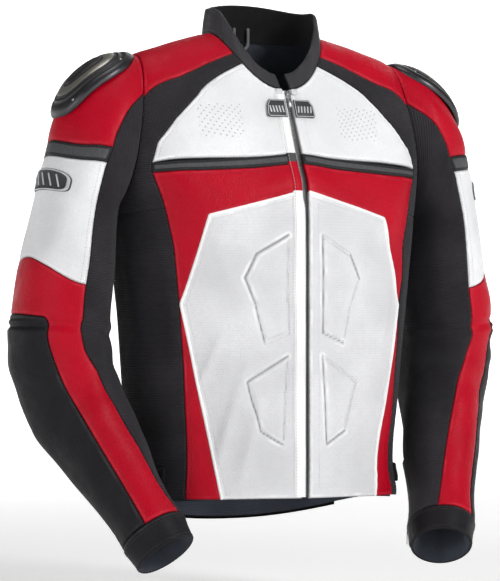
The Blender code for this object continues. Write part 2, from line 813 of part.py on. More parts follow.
BAND_TOP = slanted(3.70, 2.15)
BAND_BOTTOM = slanted(4.08, 2.95)
WHITE_BOTTOM = slanted(6.15, 6.42)


def outer_grid(top, bottom, columns, rows):
    """Grid over the outer side of the upper sleeve, between two seams given by station."""
    grid = []
    for i in range(rows + 1):
        row = []
        for j in range(columns + 1):
            share = 2 * j / columns - 1
            edge_top, edge_bottom = top(90.0), bottom(90.0)
            edge = edge_top + (edge_bottom - edge_top) * i / rows
            phi = share * front_seam_phi(edge)
            station = top(phi) + (bottom(phi) - top(phi)) * i / rows
            row.append((phi, station))
        grid.append(row)
    return np.array(grid)


def sleeve_shell(name, finish, grid, side, thickness=LEATHER, depth=0.0, swell=None):
    name = name + "_" + suffix(side)
    pivot = bpy.data.objects["shoulder_axis_" + suffix(side)]
    surface = (upper_point, upper_normal)
    shell(name, finish, grid, *surface, depth, thickness, side, pivot=pivot, swell=swell)


def forearm_shell(name, finish, grid, side, thickness=LEATHER, depth=0.0, wrap=False):
    name = name + "_" + suffix(side)
    pivot = bpy.data.objects["elbow_axis_" + suffix(side)]
    surface = (forearm_point, forearm_normal)
    shell(name, finish, grid, *surface, depth, thickness, side, wrap=wrap, pivot=pivot)


SLEEVE_START = 0.02


def upper_sleeve(side):
    start = slanted(SLEEVE_START, SLEEVE_START)
    end = slanted(UPPER_END, UPPER_END)
    sleeve_shell("sleeve_head", "red leather", outer_grid(start, BAND_TOP, 10, 7), side)
    sleeve_shell("sleeve_band", "black leather", outer_grid(BAND_TOP, BAND_BOTTOM, 10, 1), side)
    sleeve_shell("upper_arm_panel", "white leather", outer_grid(BAND_BOTTOM, WHITE_BOTTOM, 10, 4), side)
    sleeve_shell("elbow_panel", "red leather", outer_grid(WHITE_BOTTOM, end, 10, 2), side)
    inner = []
    for i in range(10):
        station = SLEEVE_START + (UPPER_END - SLEEVE_START) * i / 9
        phi = front_seam_phi(station)
        inner.append([(phi + (360 - 2 * phi) * j / 9, station) for j in range(10)])
    sleeve_shell("inner_arm_stretch_panel", "black stretch", np.array(inner), side, STRETCH)


def dome(height):
    """Swelling of a pad that is highest in its middle."""

    def swell(rows, columns):
        along = 1 - np.linspace(-1, 1, rows) ** 4
        across = 1 - np.linspace(-1, 1, columns) ** 2
        return (height * along[:, None] * np.sqrt(across)[None, :])[..., None]

    return swell


CUP_START = 0.12
CUP_END = 3.15
CUP_HALF_ANGLE = 43.0


def shoulder_cup(side):
    """Hard sliding cup on the top of the sleeve."""
    grid = []
    rows = 8
    for i in range(rows + 1):
        station = CUP_START + (CUP_END - CUP_START) * i / rows
        reach = CUP_HALF_ANGLE * math.sqrt(max(1 - (2 * i / rows - 1) ** 4, 0.12))
        grid.append([(reach * (2 * j / 8 - 1), station) for j in range(9)])
    sleeve_shell("shoulder_cup", "cup metal", np.array(grid), side, 0.002, -0.0042, swell=dome(0.0085))


def sleeve_patch(side):
    grid = []
    for station in (4.42, 4.95):
        grid.append([(-36.0 + 84.0 * j / 6, station) for j in range(7)])
    sleeve_shell("sleeve_patch", "rubber", np.array(grid), side, 0.0012, -0.0020)


def elbow_gusset(side):
    """Stretch section that joins the two halves of the sleeve at the elbow."""
    steps = 20
    angles = [360 * j / steps for j in range(steps)]
    top = np.array([upper_point(phi, UPPER_END) for phi in angles])
    above = np.array([upper_point(phi, UPPER_END - 0.4) for phi in angles])
    low = np.array([forearm_point(phi, FOREARM_START) for phi in angles])
    middle = (top + low) / 2
    centre = middle.mean(axis=0)
    middle = centre + (middle - centre) * 1.02
    gap = 0.0014
    rows = [top + gap * directions(top - above), middle, low - gap * FOREARM_DIRECTION]
    outer = np.array(rows)
    centres = outer.mean(axis=1, keepdims=True)
    inner = outer + directions(centres - outer) * STRETCH
    points, faces = shell_mesh(mirrored(outer, side), mirrored(inner, side), wrap=True)
    mesh_object("elbow_gusset_" + suffix(side), points, facing_out(points, faces), "black stretch",
                bpy.data.objects["elbow_axis_" + suffix(side)])


STRIPE_EDGES = ((50.0, 95.0), (50.0, 124.0))
CUFF_START = FOREARM_END - CUFF_HEIGHT
ARMOUR_REACHES = (0.056, 0.080, 0.105, 0.150)
ARMOUR_THICKNESS = 0.007


def forearm(side):
    reaches = [FOREARM_START, 0.105, 0.165, 0.215, CUFF_START]
    shares = [(reach - FOREARM_START) / (CUFF_START - FOREARM_START) for reach in reaches]
    stripe, rest = [], []
    for reach, share in zip(reaches, shares):
        first = STRIPE_EDGES[0][0] + (STRIPE_EDGES[1][0] - STRIPE_EDGES[0][0]) * share
        last = STRIPE_EDGES[0][1] + (STRIPE_EDGES[1][1] - STRIPE_EDGES[0][1]) * share
        stripe.append([(first + (last - first) * j / 4, reach) for j in range(5)])
        rest.append([(last + (360 + first - last) * j / 16, reach) for j in range(17)])
    forearm_shell("forearm_stripe", "red leather", np.array(stripe), side)
    forearm_shell("forearm_panel", "black leather", np.array(rest), side)
    angles = [360 * j / 24 for j in range(24)]
    cuff = np.array([[(phi, reach) for phi in angles] for reach in (CUFF_START, FOREARM_END)])
    forearm_shell("cuff", "black leather", cuff, side, wrap=True)


def elbow_armour(side):
    """Foam pad behind the elbow, inside the sleeve."""
    angles = np.linspace(-108.0, -12.0, 7)
    pad = np.array([[(phi, reach) for phi in angles] for reach in ARMOUR_REACHES])
    forearm_shell("elbow_armour", "armour foam", pad, side, ARMOUR_THICKNESS, PAD_DEPTH)


CUFF_SLIDER_REACH = FOREARM_END - 0.023
CUFF_SLIDER_SIZES = (0.0080, 0.0110, 0.0030)
CUFF_SLIDER_LIFT = 0.0024
CUFF_PULL_SIZES = (0.0060, 0.0200, 0.0014)
CUFF_PULL_LIFT = 0.0052


def cuff_zip(side):
    """Slider and pull of the cuff zip, on the inner back of the cuff. The pull hangs down."""
    place = forearm_point(CUFF_ZIP_PHI, CUFF_SLIDER_REACH)
    along = unit(place - forearm_point(CUFF_ZIP_PHI, CUFF_SLIDER_REACH - 0.02))
    outward = forearm_normal(CUFF_ZIP_PHI, CUFF_SLIDER_REACH)
    outward = unit(outward - (outward @ along) * along)
    axes = (np.cross(along, outward), along, outward)
    centre = place + outward * CUFF_SLIDER_LIFT
    pivot = pivot_empty("cuff_slider_axis_" + suffix(side), mirrored(centre, side))
    slab("cuff_zip_slider_" + suffix(side), "gunmetal", centre, axes, CUFF_SLIDER_SIZES, side, pivot, 0.002)
    hinge = place + outward * CUFF_PULL_LIFT
    pivot = pivot_empty("cuff_pull_axis_" + suffix(side), mirrored(hinge, side))
    tab = hinge + along * (CUFF_PULL_SIZES[1] / 2 - PULL_OVERHANG)
    slab("cuff_zip_pull_" + suffix(side), "gunmetal", tab, axes, CUFF_PULL_SIZES, side, pivot, 0.0016)


# ---------------------------------------------------------------- assembly


def build():
    clear_scene()
    centre = (ARMHOLE_TOP + ARMHOLE_BOTTOM) / 2
    for side in (-1, 1):
        pivot_empty("shoulder_axis_" + suffix(side), mirrored(centre, side))
        pivot_empty("elbow_axis_" + suffix(side), mirrored(ELBOW_PIVOT, side))
        chest_panel(side)
        chest_stripe(side)
        red_front_panel(side)
        abdomen_panel(side)
        side_panel(side)
        raglan_strip(side)
        shoulder_panel(side)
        zip_half(side)
        chest_patch(side)
        waist_strap(side)
        upper_sleeve(side)
        shoulder_cup(side)
        sleeve_patch(side)
        elbow_gusset(side)
        forearm(side)
        elbow_armour(side)
        cuff_zip(side)
    back_yoke()
    back_panels()
    collar()
    hang_loop()
    placket()
    zip_slider()
    body_lining()
    back_protector()


build()
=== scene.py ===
"""Looks of the leather riding jacket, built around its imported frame.

Metres, +Z up, the front faces -Y and the wearer's right side is at -X, as in the CAD. The skins of
the body and the sleeve are smooth surfaces through the CAD's own sections. Each panel is a piece of
one of them, with its seams, top-stitching and folds. Folds come from a cloth simulation.
"""

import json
import math

import bpy
import numpy as np
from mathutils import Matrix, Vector, kdtree


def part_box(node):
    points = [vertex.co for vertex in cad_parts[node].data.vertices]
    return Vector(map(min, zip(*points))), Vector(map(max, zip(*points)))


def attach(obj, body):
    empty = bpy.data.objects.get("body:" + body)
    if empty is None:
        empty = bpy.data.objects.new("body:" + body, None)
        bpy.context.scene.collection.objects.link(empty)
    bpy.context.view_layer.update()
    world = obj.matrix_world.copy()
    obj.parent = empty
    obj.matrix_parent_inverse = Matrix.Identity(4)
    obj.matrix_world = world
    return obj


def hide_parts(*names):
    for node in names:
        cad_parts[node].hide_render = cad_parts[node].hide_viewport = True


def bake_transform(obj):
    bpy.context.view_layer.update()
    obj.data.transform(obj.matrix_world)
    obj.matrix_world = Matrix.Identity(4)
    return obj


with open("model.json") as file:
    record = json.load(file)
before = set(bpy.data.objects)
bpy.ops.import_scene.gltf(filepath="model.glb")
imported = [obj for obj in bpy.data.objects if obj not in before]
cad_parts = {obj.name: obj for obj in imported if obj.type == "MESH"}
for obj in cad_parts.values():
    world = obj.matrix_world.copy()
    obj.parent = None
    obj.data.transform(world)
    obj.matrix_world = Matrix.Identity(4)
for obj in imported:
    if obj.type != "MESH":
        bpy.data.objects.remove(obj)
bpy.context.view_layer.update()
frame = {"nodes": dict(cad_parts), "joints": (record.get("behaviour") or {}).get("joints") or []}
JOINTS = {joint["name"]: joint for joint in frame["joints"]}

# ---------------------------------------------------------------- sections, as in the CAD

BODY_SQUARENESS = 2.25

# Half width, height at the side, front depth, height in front, back depth, height at the back.
BODY_RINGS = np.array(
    [
        [0.192, -0.610, 0.1340, -0.602, 0.118, -0.640],
        [0.197, -0.480, 0.1340, -0.480, 0.116, -0.480],
        [0.210, -0.345, 0.1340, -0.345, 0.120, -0.345],
        [0.219, -0.262, 0.1340, -0.262, 0.124, -0.262],
        [0.226, -0.205, 0.1310, -0.186, 0.126, -0.190],
        [0.240, -0.120, 0.1153, -0.146, 0.122, -0.110],
        [0.232, -0.050, 0.0996, -0.106, 0.110, -0.050],
        [0.203, -0.004, 0.0898, -0.081, 0.098, -0.005],
        [0.150, 0.018, 0.0820, -0.061, 0.085, 0.022],
        [0.082, 0.036, 0.0750, -0.043, 0.072, 0.043],
    ]
)
NECK_LEVEL = 9.0
ARMPIT_LEVEL = 3.82
SHOULDER_END_LEVEL = 6.1
ARMHOLE_TOP = np.array([0.195, 0.0, 0.0])
ARMHOLE_BOTTOM = np.array([0.225, 0.0, -0.207])

ZIP_CHANNEL = 0.0055
BUST_HEIGHT = -0.186
STRIPE_TOP = [(ZIP_CHANNEL, -0.134), (0.200, -0.148)]
STRIPE_BOTTOM = [(ZIP_CHANNEL, -0.148), (0.200, -0.161)]
ABDOMEN_APEX = (ZIP_CHANNEL, BUST_HEIGHT)
ABDOMEN_CORNER = (0.133, -0.219)
ABDOMEN_WIDEST = (0.1652, -0.338)
HEM_HEIGHT = -0.6005
ABDOMEN_HEM = (0.115, HEM_HEIGHT)
SIDE_SEAM_AT_ARMPIT = (0.185, -0.213)
SIDE_SEAM = [(0.175, -0.262), (0.1665, -0.345), (0.156, HEM_HEIGHT)]
CHEST_EDGE = [(0.200, -0.148), (0.192, -0.120), (0.166, -0.087), (0.131, -0.053)]
CHEST_APEX_ANGLE = 42.0
SHOULDER_SEAM_ANGLE = 52.0
SIDE_BACK_ANGLE = 128.0

# Sections of the upper sleeve: inner point (x, z), outer point (x, z), middle depth, half depth.
UPPER_SECTIONS = [
    ((0.2295, -0.2110), (0.2400, -0.0100), 0.003, 0.079),
    ((0.2305, -0.2140), (0.2770, -0.0370), 0.003, 0.080),
    ((0.2312, -0.2175), (0.3020, -0.0800), 0.004, 0.080),
    ((0.2318, -0.2220), (0.3160, -0.1320), 0.005, 0.080),
    ((0.2320, -0.2320), (0.3300, -0.1870), 0.006, 0.080),
    ((0.2290, -0.2820), (0.3470, -0.2580), 0.009, 0.080),
    ((0.2355, -0.3620), (0.3625, -0.3480), 0.013, 0.081),
    ((0.2360, -0.3860), (0.3650, -0.3740), 0.015, 0.081),
]
ELBOW = np.array([0.300, 0.018, -0.430])
CUFF_END = np.array([0.209, -0.138, -0.670])
# Forearm sections: distance from the elbow, half width, half depth.
FOREARM_SECTIONS = np.array(
    [
        [0.050, 0.0600, 0.0720],
        [0.105, 0.0545, 0.0640],
        [0.165, 0.0490, 0.0560],
        [0.264, 0.0428, 0.0479],
        [0.300, 0.0405, 0.0450],
    ]
)
CUFF_PLACE = 12.0
SLEEVE_END = 13.0
CUFF_ZIP_PHI = 205.0
COLLAR_FRONT_HEIGHT = 0.021
COLLAR_SIDE_HEIGHT = 0.034
COLLAR_BACK_HEIGHT = 0.041
COLLAR_LEAN = 0.06
COLLAR_THICKNESS = 0.0045


# ---------------------------------------------------------------- smooth skins


def unit(vectors):
    vectors = np.asarray(vectors, float)
    return vectors / np.maximum(np.linalg.norm(vectors, axis=-1, keepdims=True), 1e-12)


def smoothstep(value, low, high):
    part = np.clip((value - low) / (high - low), 0, 1)
    return part * part * (3 - 2 * part)


def hermite(start, end, leave, arrive, part):
    bend = (start - end) * 2 + leave + arrive
    return start + part * (leave + part * ((end - start) * 3 - leave * 2 - arrive + part * bend))


def signed_power(value, power):
    return np.sign(value) * np.abs(value) ** power


def circle(count, whole=2 * math.pi):
    """Angles of this many points round a circle."""
    return np.linspace(0, whole, count + 1)[:-1]


def table(across, down):
    """Grid of pairs: the first number runs along each row, the second from row to row."""
    return np.stack(np.broadcast_arrays(across[None, :], down[:, None]), -1)


def lengths(line):
    """Distance from the start of a line of points, at each of them."""
    return np.concatenate([[0], np.cumsum(np.linalg.norm(np.diff(line, axis=0), axis=-1))])


def read_line(distances, total, line):
    """Points at these distances along a line whose own points lie at the distances total."""
    return np.stack([np.interp(distances, total, line[:, k]) for k in range(line.shape[1])], -1)


def tree_of(points):
    """Search tree over an array of points."""
    tree = kdtree.KDTree(len(points))
    for i, point in enumerate(points):
        tree.insert(point, i)
    tree.balance()
    return tree


def tangents(rows):
    """Gaps between the rows of a stack, and the tangents at its rows per unit of gap."""
    gaps = np.linalg.norm(rows[1:] - rows[:-1], axis=-1)[..., None]
    rates = (rows[1:] - rows[:-1]) / gaps
    before, after = gaps[:-1], gaps[1:]
    middle = (rates[:-1] * after + rates[1:] * before) / (before + after)
    return gaps, np.concatenate([rates[:1], middle, rates[-1:]])


RING_GAPS, RING_TANGENTS = tangents(BODY_RINGS)


def body_ring(level):
    level = np.clip(np.asarray(level, float), 0, NECK_LEVEL - 1e-6)
    index = level.astype(int)
    gap = RING_GAPS[index]
    leave = RING_TANGENTS[index] * gap
    arrive = RING_TANGENTS[index + 1] * gap
    return hermite(BODY_RINGS[index], BODY_RINGS[index + 1], leave, arrive, (level - index)[..., None])


def torso(angle, level):
    """Outer skin of the body. Angle 0 is the front centre, 90 the left side, 180 the back."""
    ring = body_ring(level)
    sine = np.sin(np.radians(angle))
    cosine = np.cos(np.radians(angle))
    power = 2 / BODY_SQUARENESS
    in_front = cosine > 0
    depth = np.where(in_front, ring[..., 2], ring[..., 4])
    end_z = np.where(in_front, ring[..., 3], ring[..., 5])
    x = ring[..., 0] * signed_power(sine, power)
    y = -depth * signed_power(cosine, power)
    return np.stack([x, y, ring[..., 1] * sine**2 + end_z * cosine**2], -1)


def torso_normal(angle, level):
    level = np.clip(level, 0.03, NECK_LEVEL - 0.03)
    along = torso(angle + 0.4, level) - torso(angle - 0.4, level)
    upward = torso(angle, level + 0.025) - torso(angle, level - 0.025)
    return unit(np.cross(along, upward))


def halved(low, high, is_low):
    """Bisects every value at once; is_low says where the answer lies above the middle."""
    low, high = np.array(low, float), np.array(high, float)
    for _ in range(36):
        middle = (low + high) / 2
        above = is_low(middle)
        low, high = np.where(above, middle, low), np.where(above, high, middle)
    return (low + high) / 2


def body_at(x, z, back=False):
    """(angle, level) of the points of the skin at these widths and heights."""
    x, z = np.broadcast_arrays(np.abs(np.asarray(x, float)), np.asarray(z, float))

    def sine_at(level):
        return np.minimum(1.0, (x / body_ring(level)[..., 0]) ** (BODY_SQUARENESS / 2))

    def too_low(level):
        ring = body_ring(level)
        end_z = ring[..., 5] if back else ring[..., 3]
        square = sine_at(level) ** 2
        return ring[..., 1] * square + end_z * (1 - square) < z

    level = halved(np.zeros_like(x), np.full_like(x, NECK_LEVEL), too_low)
    angle = np.degrees(np.arcsin(sine_at(level)))
    return (180 - angle if back else angle), level


ARMHOLE_DOWN = unit(ARMHOLE_BOTTOM - ARMHOLE_TOP)
ARMHOLE_NORMAL = np.array([-ARMHOLE_DOWN[2], 0.0, ARMHOLE_DOWN[0]])
ARMHOLE_DISTANCE = float(ARMHOLE_NORMAL @ ARMHOLE_TOP)


def armhole_angle(level, back):
    """Angle where a ring meets the armhole plane, in front of the arm or behind it."""
    level = np.asarray(level, float)

    def inside(angle):
        return torso(180 - angle if back else angle, level) @ ARMHOLE_NORMAL < ARMHOLE_DISTANCE

    angle = halved(np.full_like(level, 20.0), np.full_like(level, 90.0), inside)
    return 180 - angle if back else angle


def armhole_level(angle):
    """Level at which the top of the shoulder meets the armhole plane."""
    angle = np.asarray(angle, float)

    def outside(level):
        return torso(angle, level) @ ARMHOLE_NORMAL > ARMHOLE_DISTANCE

    return halved(np.full_like(angle, 5.3), np.full_like(angle, NECK_LEVEL), outside)


def armhole_half(heights, back, top):
    """Depths of the armhole's outline at these heights, on one of its two sides."""
    heights = np.asarray(heights, float)

    def too_low(level):
        return torso(armhole_angle(level, back), level)[..., 2] < heights

    level = halved(np.full_like(heights, 3.0), np.full_like(heights, top), too_low)
    return torso(armhole_angle(level, back), level)[..., 1]


LOOP_STEPS = 72
LOOP_PHIS = np.arange(LOOP_STEPS) * 360 / LOOP_STEPS


def armhole_loop():
    """Outline of the sleeve at the armhole: phi 0 is the top, 90 the front, 180 the armpit."""
    top = float(armhole_level(90.0))
    top_z = torso(90.0, top)[2]
    middle = (top_z + ARMHOLE_BOTTOM[2]) / 2
    heights = middle + (top_z - middle) * 0.995 * np.cos(np.radians(LOOP_PHIS))
    behind = np.sin(np.radians(LOOP_PHIS)) < 0
    y = np.where(behind, armhole_half(heights, True, top), armhole_half(heights, False, top))
    x = (ARMHOLE_DISTANCE - ARMHOLE_NORMAL[2] * heights) / ARMHOLE_NORMAL[0]
    return np.stack([x, y, heights], -1)


def ellipse(centre, toward_outer, toward_front):
    cosine = np.cos(np.radians(LOOP_PHIS))[:, None]
    sine = np.sin(np.radians(LOOP_PHIS))[:, None]
    return centre + toward_outer * cosine + toward_front * sine


FOREARM_DIRECTION = unit(CUFF_END - ELBOW)
FOREARM_OUTWARD = unit(np.array([1.0, 0, 0]) - FOREARM_DIRECTION[0] * FOREARM_DIRECTION)
FOREARM_FRONT = np.cross(FOREARM_DIRECTION, FOREARM_OUTWARD)


def sleeve_loops():
    loops = [armhole_loop()]
    for inner, outer, middle_y, half_depth in UPPER_SECTIONS:
        inner = np.array([inner[0], middle_y, inner[1]])
        outer = np.array([outer[0], middle_y, outer[1]])
        loops.append(ellipse((inner + outer) / 2, (outer - inner) / 2, np.array([0, -half_depth, 0])))
    for reach, width, depth in FOREARM_SECTIONS:
        centre = ELBOW + FOREARM_DIRECTION * reach
        loops.append(ellipse(centre, FOREARM_OUTWARD * width, FOREARM_FRONT * depth))
    return np.array(loops)


SLEEVE_LOOPS = sleeve_loops()
LOOP_GAPS, LOOP_TANGENTS = tangents(SLEEVE_LOOPS)


def sleeve(phi, place):
    """Outer skin of the left sleeve. Place 0 is the armhole, 8 the elbow, 13 the end of the cuff."""
    phi, place = np.broadcast_arrays(np.asarray(phi, float), np.asarray(place, float))
    place = np.clip(place, 0, SLEEVE_END - 1e-6)
    index = place.astype(int)
    part = (place - index)[..., None]
    turn = (phi % 360) / 360 * LOOP_STEPS
    first = np.floor(turn).astype(int)
    share = (turn - first)[..., None]
    found = []
    for step in (-1, 0, 1, 2):
        column = (first + step) % LOOP_STEPS
        gap = LOOP_GAPS[index, column]
        leave = LOOP_TANGENTS[index, column] * gap
        arrive = LOOP_TANGENTS[index + 1, column] * gap
        ends = SLEEVE_LOOPS[index, column], SLEEVE_LOOPS[index + 1, column]
        found.append(hermite(*ends, leave, arrive, part))
    return hermite(found[1], found[2], (found[2] - found[0]) / 2, (found[3] - found[1]) / 2, share)


def sleeve_normal(phi, place):
    near = np.clip(place - 0.03, 0, SLEEVE_END - 0.06)
    along = sleeve(phi + 2.0, place) - sleeve(phi - 2.0, place)
    return unit(np.cross(along, sleeve(phi, near + 0.06) - sleeve(phi, near)))


def metre_table(surface, turns, places):
    """Distance round the skin from phi or angle 0, and along it, at each point of a table."""
    points = surface(turns[None, :], places[:, None])
    round_steps = np.linalg.norm(np.diff(points, axis=1), axis=-1)
    along_steps = np.linalg.norm(np.diff(points, axis=0), axis=-1)
    round_sum = np.concatenate([np.zeros((len(places), 1)), np.cumsum(round_steps, 1)], 1)
    along_sum = np.concatenate([np.zeros((1, len(turns))), np.cumsum(along_steps, 0)], 0)
    return np.stack([round_sum, np.repeat(along_sum.mean(1)[:, None], len(turns), 1)], -1)


def sample(values, turn, place, last, eased=False):
    """Reads rows of values over places 0 to last and columns over turns 0 to 360.

    With eased, the values run smoothly from row to row.
    """
    rows, columns = values.shape[:2]
    y = np.clip(place / last, 0, 1) * (rows - 1)
    x = np.clip((turn % 360.0) / 360.0, 0, 1) * (columns - 1)
    i = np.minimum(y.astype(int), rows - 2)
    j = np.minimum(x.astype(int), columns - 2)
    shape = (...,) + (None,) * (values.ndim - 2)
    v, u = (y - i)[shape], (x - j)[shape]
    if eased:
        v = v * v * (3 - 2 * v)
    upper = values[i, j] * (1 - u) + values[i, j + 1] * u
    lower = values[i + 1, j] * (1 - u) + values[i + 1, j + 1] * u
    return upper * (1 - v) + lower * v


# ---------------------------------------------------------------- folds


def grid_quads(rows, columns, closed=False):
    """Faces of a grid of points; with closed, each row is a loop."""
    numbers = np.arange(rows * columns).reshape(rows, columns)
    if closed:
        numbers = np.concatenate([numbers, numbers[:, :1]], 1)
    corners = numbers[:-1, :-1], numbers[:-1, 1:], numbers[1:, 1:], numbers[1:, :-1]
    return np.stack(corners, -1).reshape(-1, 4)


def facing(faces, points, number, outward):
    """The faces, all turned over if the one with this number looks against outward."""
    a, b, c = points.reshape(-1, 3)[faces[number][:3]]
    return faces[:, ::-1] if np.cross(b - a, c - a) @ outward < 0 else faces


CLOTH_FRAMES = 30
FOLD_LIMIT = 0.0062
SINK_LIMIT = 0.0042
# The broad sag of the cloth is mostly taken out of the folds, which are then drawn up.
BROAD_PASSES = 22
BROAD_SHARE = 0.95
BODY_FOLD = 0.0021
SLEEVE_FOLD = 0.0029


def settled(points, held, spare, bending, weight):
    """Where a closed tube of cloth comes to rest. held is 1 where it is sewn down, less elsewhere."""
    rows, columns = points.shape[:2]
    mesh = bpy.data.meshes.new("cloth")
    mesh.from_pydata(points.reshape(-1, 3).tolist(), [], grid_quads(rows, columns, True).tolist())
    obj = bpy.data.objects.new("cloth", mesh)
    bpy.context.scene.collection.objects.link(obj)
    group = obj.vertex_groups.new(name="held")
    for i, share in enumerate(held.ravel()):
        group.add([i], float(share), "REPLACE")
    modifier = obj.modifiers.new("cloth", "CLOTH")
    cloth = modifier.settings
    cloth.quality = 6
    cloth.mass = 0.15
    cloth.tension_stiffness = 20
    cloth.compression_stiffness = 20
    cloth.shear_stiffness = 8
    cloth.bending_stiffness = bending
    cloth.air_damping = 2
    cloth.vertex_group_mass = "held"
    cloth.pin_stiffness = 0.6
    cloth.shrink_min = -spare
    cloth.effector_weights.gravity = weight
    modifier.collision_settings.use_collision = False
    modifier.point_cache.frame_start = 1
    modifier.point_cache.frame_end = CLOTH_FRAMES
    for number in range(1, CLOTH_FRAMES + 1):
        bpy.context.scene.frame_set(number)
    graph = bpy.context.evaluated_depsgraph_get()
    final = obj.evaluated_get(graph).data
    moved = np.empty(rows * columns * 3, np.float32)
    final.vertices.foreach_get("co", moved)
    bpy.data.objects.remove(obj, do_unlink=True)
    bpy.context.scene.frame_set(1)
    return moved.reshape(rows, columns, 3)


def blurred(field, passes):
    for _ in range(passes):
        field = (np.roll(field, 1, 1) + 2 * field + np.roll(field, -1, 1)) / 4
        padded = np.concatenate([field[:1], field, field[-1:]])
        field = (padded[:-2] + 2 * padded[1:-1] + padded[2:]) / 4
    return field


def tidy_field(field, height):
    """The folds alone, scaled to a usual height and softly limited; the first column is repeated."""
    field = blurred(field, 3)
    field = field - BROAD_SHARE * blurred(field, BROAD_PASSES)
    field = field * height / np.sqrt(np.mean(field**2))
    raised = FOLD_LIMIT * np.tanh(np.maximum(field, 0) / FOLD_LIMIT)
    field = raised + SINK_LIMIT * np.tanh(np.minimum(field, 0) / SINK_LIMIT)
    return np.concatenate([field, field[:, :1]], 1)


def random_dents(shape, seed, passes):
    """Small smooth unevenness that decides where the cloth buckles."""
    dents = np.random.default_rng(seed).normal(size=shape)
    for _ in range(passes):
        dents = (np.roll(dents, 1, 1) + 2 * dents + np.roll(dents, -1, 1)) / 4
        dents = (np.roll(dents, 1, 0) + 2 * dents + np.roll(dents, -1, 0)) / 4
    return dents / np.abs(dents).max()


TORSO_ROWS, TORSO_COLUMNS = 76, 132
SLEEVE_ROWS, SLEEVE_COLUMNS = 105, 48
# How firmly the wearer's shape holds the cloth out, between the seams.
BODY_HOLD = 0.05
CHEST_CALM = 0.55
DENT_HEIGHT = 0.0012
DENT_PASSES = 3
TORSO_SEED = 3
SLEEVE_SEEDS = {1: 11, -1: 23}


def torso_folds():
    levels = np.linspace(0, NECK_LEVEL, TORSO_ROWS)[:, None]
    angles = (np.arange(TORSO_COLUMNS) * 360 / TORSO_COLUMNS)[None, :]
    points = torso(angles, levels)
    outward = torso_normal(angles, levels)
    dents = random_dents(points.shape[:2], TORSO_SEED, DENT_PASSES) * DENT_HEIGHT
    points = points + outward * dents[..., None]
    held = np.full(points.shape[:2], BODY_HOLD)
    beyond = np.abs(points[..., 0]) * ARMHOLE_NORMAL[0] + points[..., 2] * ARMHOLE_NORMAL[2]
    held = np.where((beyond > ARMHOLE_DISTANCE - 0.004) & (levels > ARMPIT_LEVEL - 0.25), 1.0, held)
    held = np.where(levels > NECK_LEVEL - 0.15, 1.0, held)
    held = np.where(levels < 0.05, 0.5, held)
    front = np.minimum(angles, 360 - angles)
    held = np.where(front < 2.0, 1.0, held)
    moved = settled(points, held, 0.055, 0.8, 0.6)
    folds = tidy_field(((moved - points) * outward).sum(-1), BODY_FOLD)
    # The chest is held flatter than the rest.
    return folds * (1 - CHEST_CALM * smoothstep(levels, 4.6, 6.2))


def sleeve_folds(seed):
    places = np.linspace(0, SLEEVE_END, SLEEVE_ROWS)[:, None]
    phis = (np.arange(SLEEVE_COLUMNS) * 360 / SLEEVE_COLUMNS)[None, :]
    points = sleeve(phis, places)
    outward = sleeve_normal(phis, places)
    dents = random_dents(points.shape[:2], seed, DENT_PASSES) * DENT_HEIGHT
    points = points + outward * dents[..., None]
    held = np.full(points.shape[:2], BODY_HOLD)
    held = np.where((places < 0.3) | (places > SLEEVE_END - 0.9), 1.0, held)
    moved = settled(points, held, 0.075, 0.5, 0.8)
    return tidy_field(((moved - points) * outward).sum(-1), SLEEVE_FOLD)


TORSO_FOLDS = torso_folds()
SLEEVE_FOLDS = {side: sleeve_folds(seed) for side, seed in SLEEVE_SEEDS.items()}

# Soft creases of the body: wearer's side, start and end as (distance from the centre, height),
# width and height of the ridge.
CREASES = [
    (-1, (0.080, -0.400), (0.130, -0.585), 0.0085, 0.0046),
    (-1, (0.058, -0.440), (0.098, -0.600), 0.0085, 0.0036),
    (-1, (0.112, -0.365), (0.150, -0.465), 0.0070, 0.0030),
    (-1, (0.128, -0.240), (0.100, -0.330), 0.0080, 0.0014),
    (1, (0.090, -0.470), (0.070, -0.595), 0.0085, 0.0022),
    (1, (0.150, -0.300), (0.120, -0.420), 0.0080, 0.0020),
    (-1, (0.178, -0.270), (0.168, -0.440), 0.0080, 0.0026),
    (-1, (0.192, -0.230), (0.176, -0.330), 0.0070, 0.0024),
    (1, (0.178, -0.250), (0.166, -0.420), 0.0080, 0.0026),
]


def to_segment(x, z, start, end):
    """Distance of points from a segment, and how far along it they are, 0 to 1."""
    run = np.subtract(end, start)
    share = ((x - start[0]) * run[0] + (z - start[1]) * run[1]) / (run @ run)
    share = np.clip(share, 0, 1)
    return np.hypot(x - start[0] - share * run[0], z - start[1] - share * run[1]), share


class Skin:
    """One of the two skins, with its folds and its distances in metres."""

    def __init__(self, surface, normal, last, folds):
        self.surface = surface
        self.normal = normal
        self.last = last
        self.folds = folds
        self.metres = metre_table(surface, np.linspace(0, 360, 361), np.linspace(0, last, 401))

    def uv(self, grid):
        turn = grid[..., 0]
        wrapped = np.floor(turn / 360.0)
        whole = sample(self.metres, turn * 0 + 359.999, grid[..., 1], self.last)[..., 0]
        found = sample(self.metres, turn, grid[..., 1], self.last)
        found[..., 0] += wrapped * whole
        return found

    def fold(self, grid, side):
        return self.folds(grid[..., 0], grid[..., 1], side)


def torso_fold(angle, level, side):
    height = sample(TORSO_FOLDS, angle * side, level, NECK_LEVEL, eased=True)
    points = torso(angle, level)
    in_front = np.cos(np.radians(angle)) > 0
    for crease_side, start, end, width, ridge in CREASES:
        if crease_side != side:
            continue
        distance, share = to_segment(np.abs(points[..., 0]), points[..., 2], start, end)
        fade = np.sin(np.pi * np.clip(share, 0.02, 0.98))
        height = height + in_front * ridge * fade * np.exp(-((distance / width) ** 2))
    return height


ELBOW_CREASES = 6.5
ELBOW_CREASE_DEPTH = 0.0022


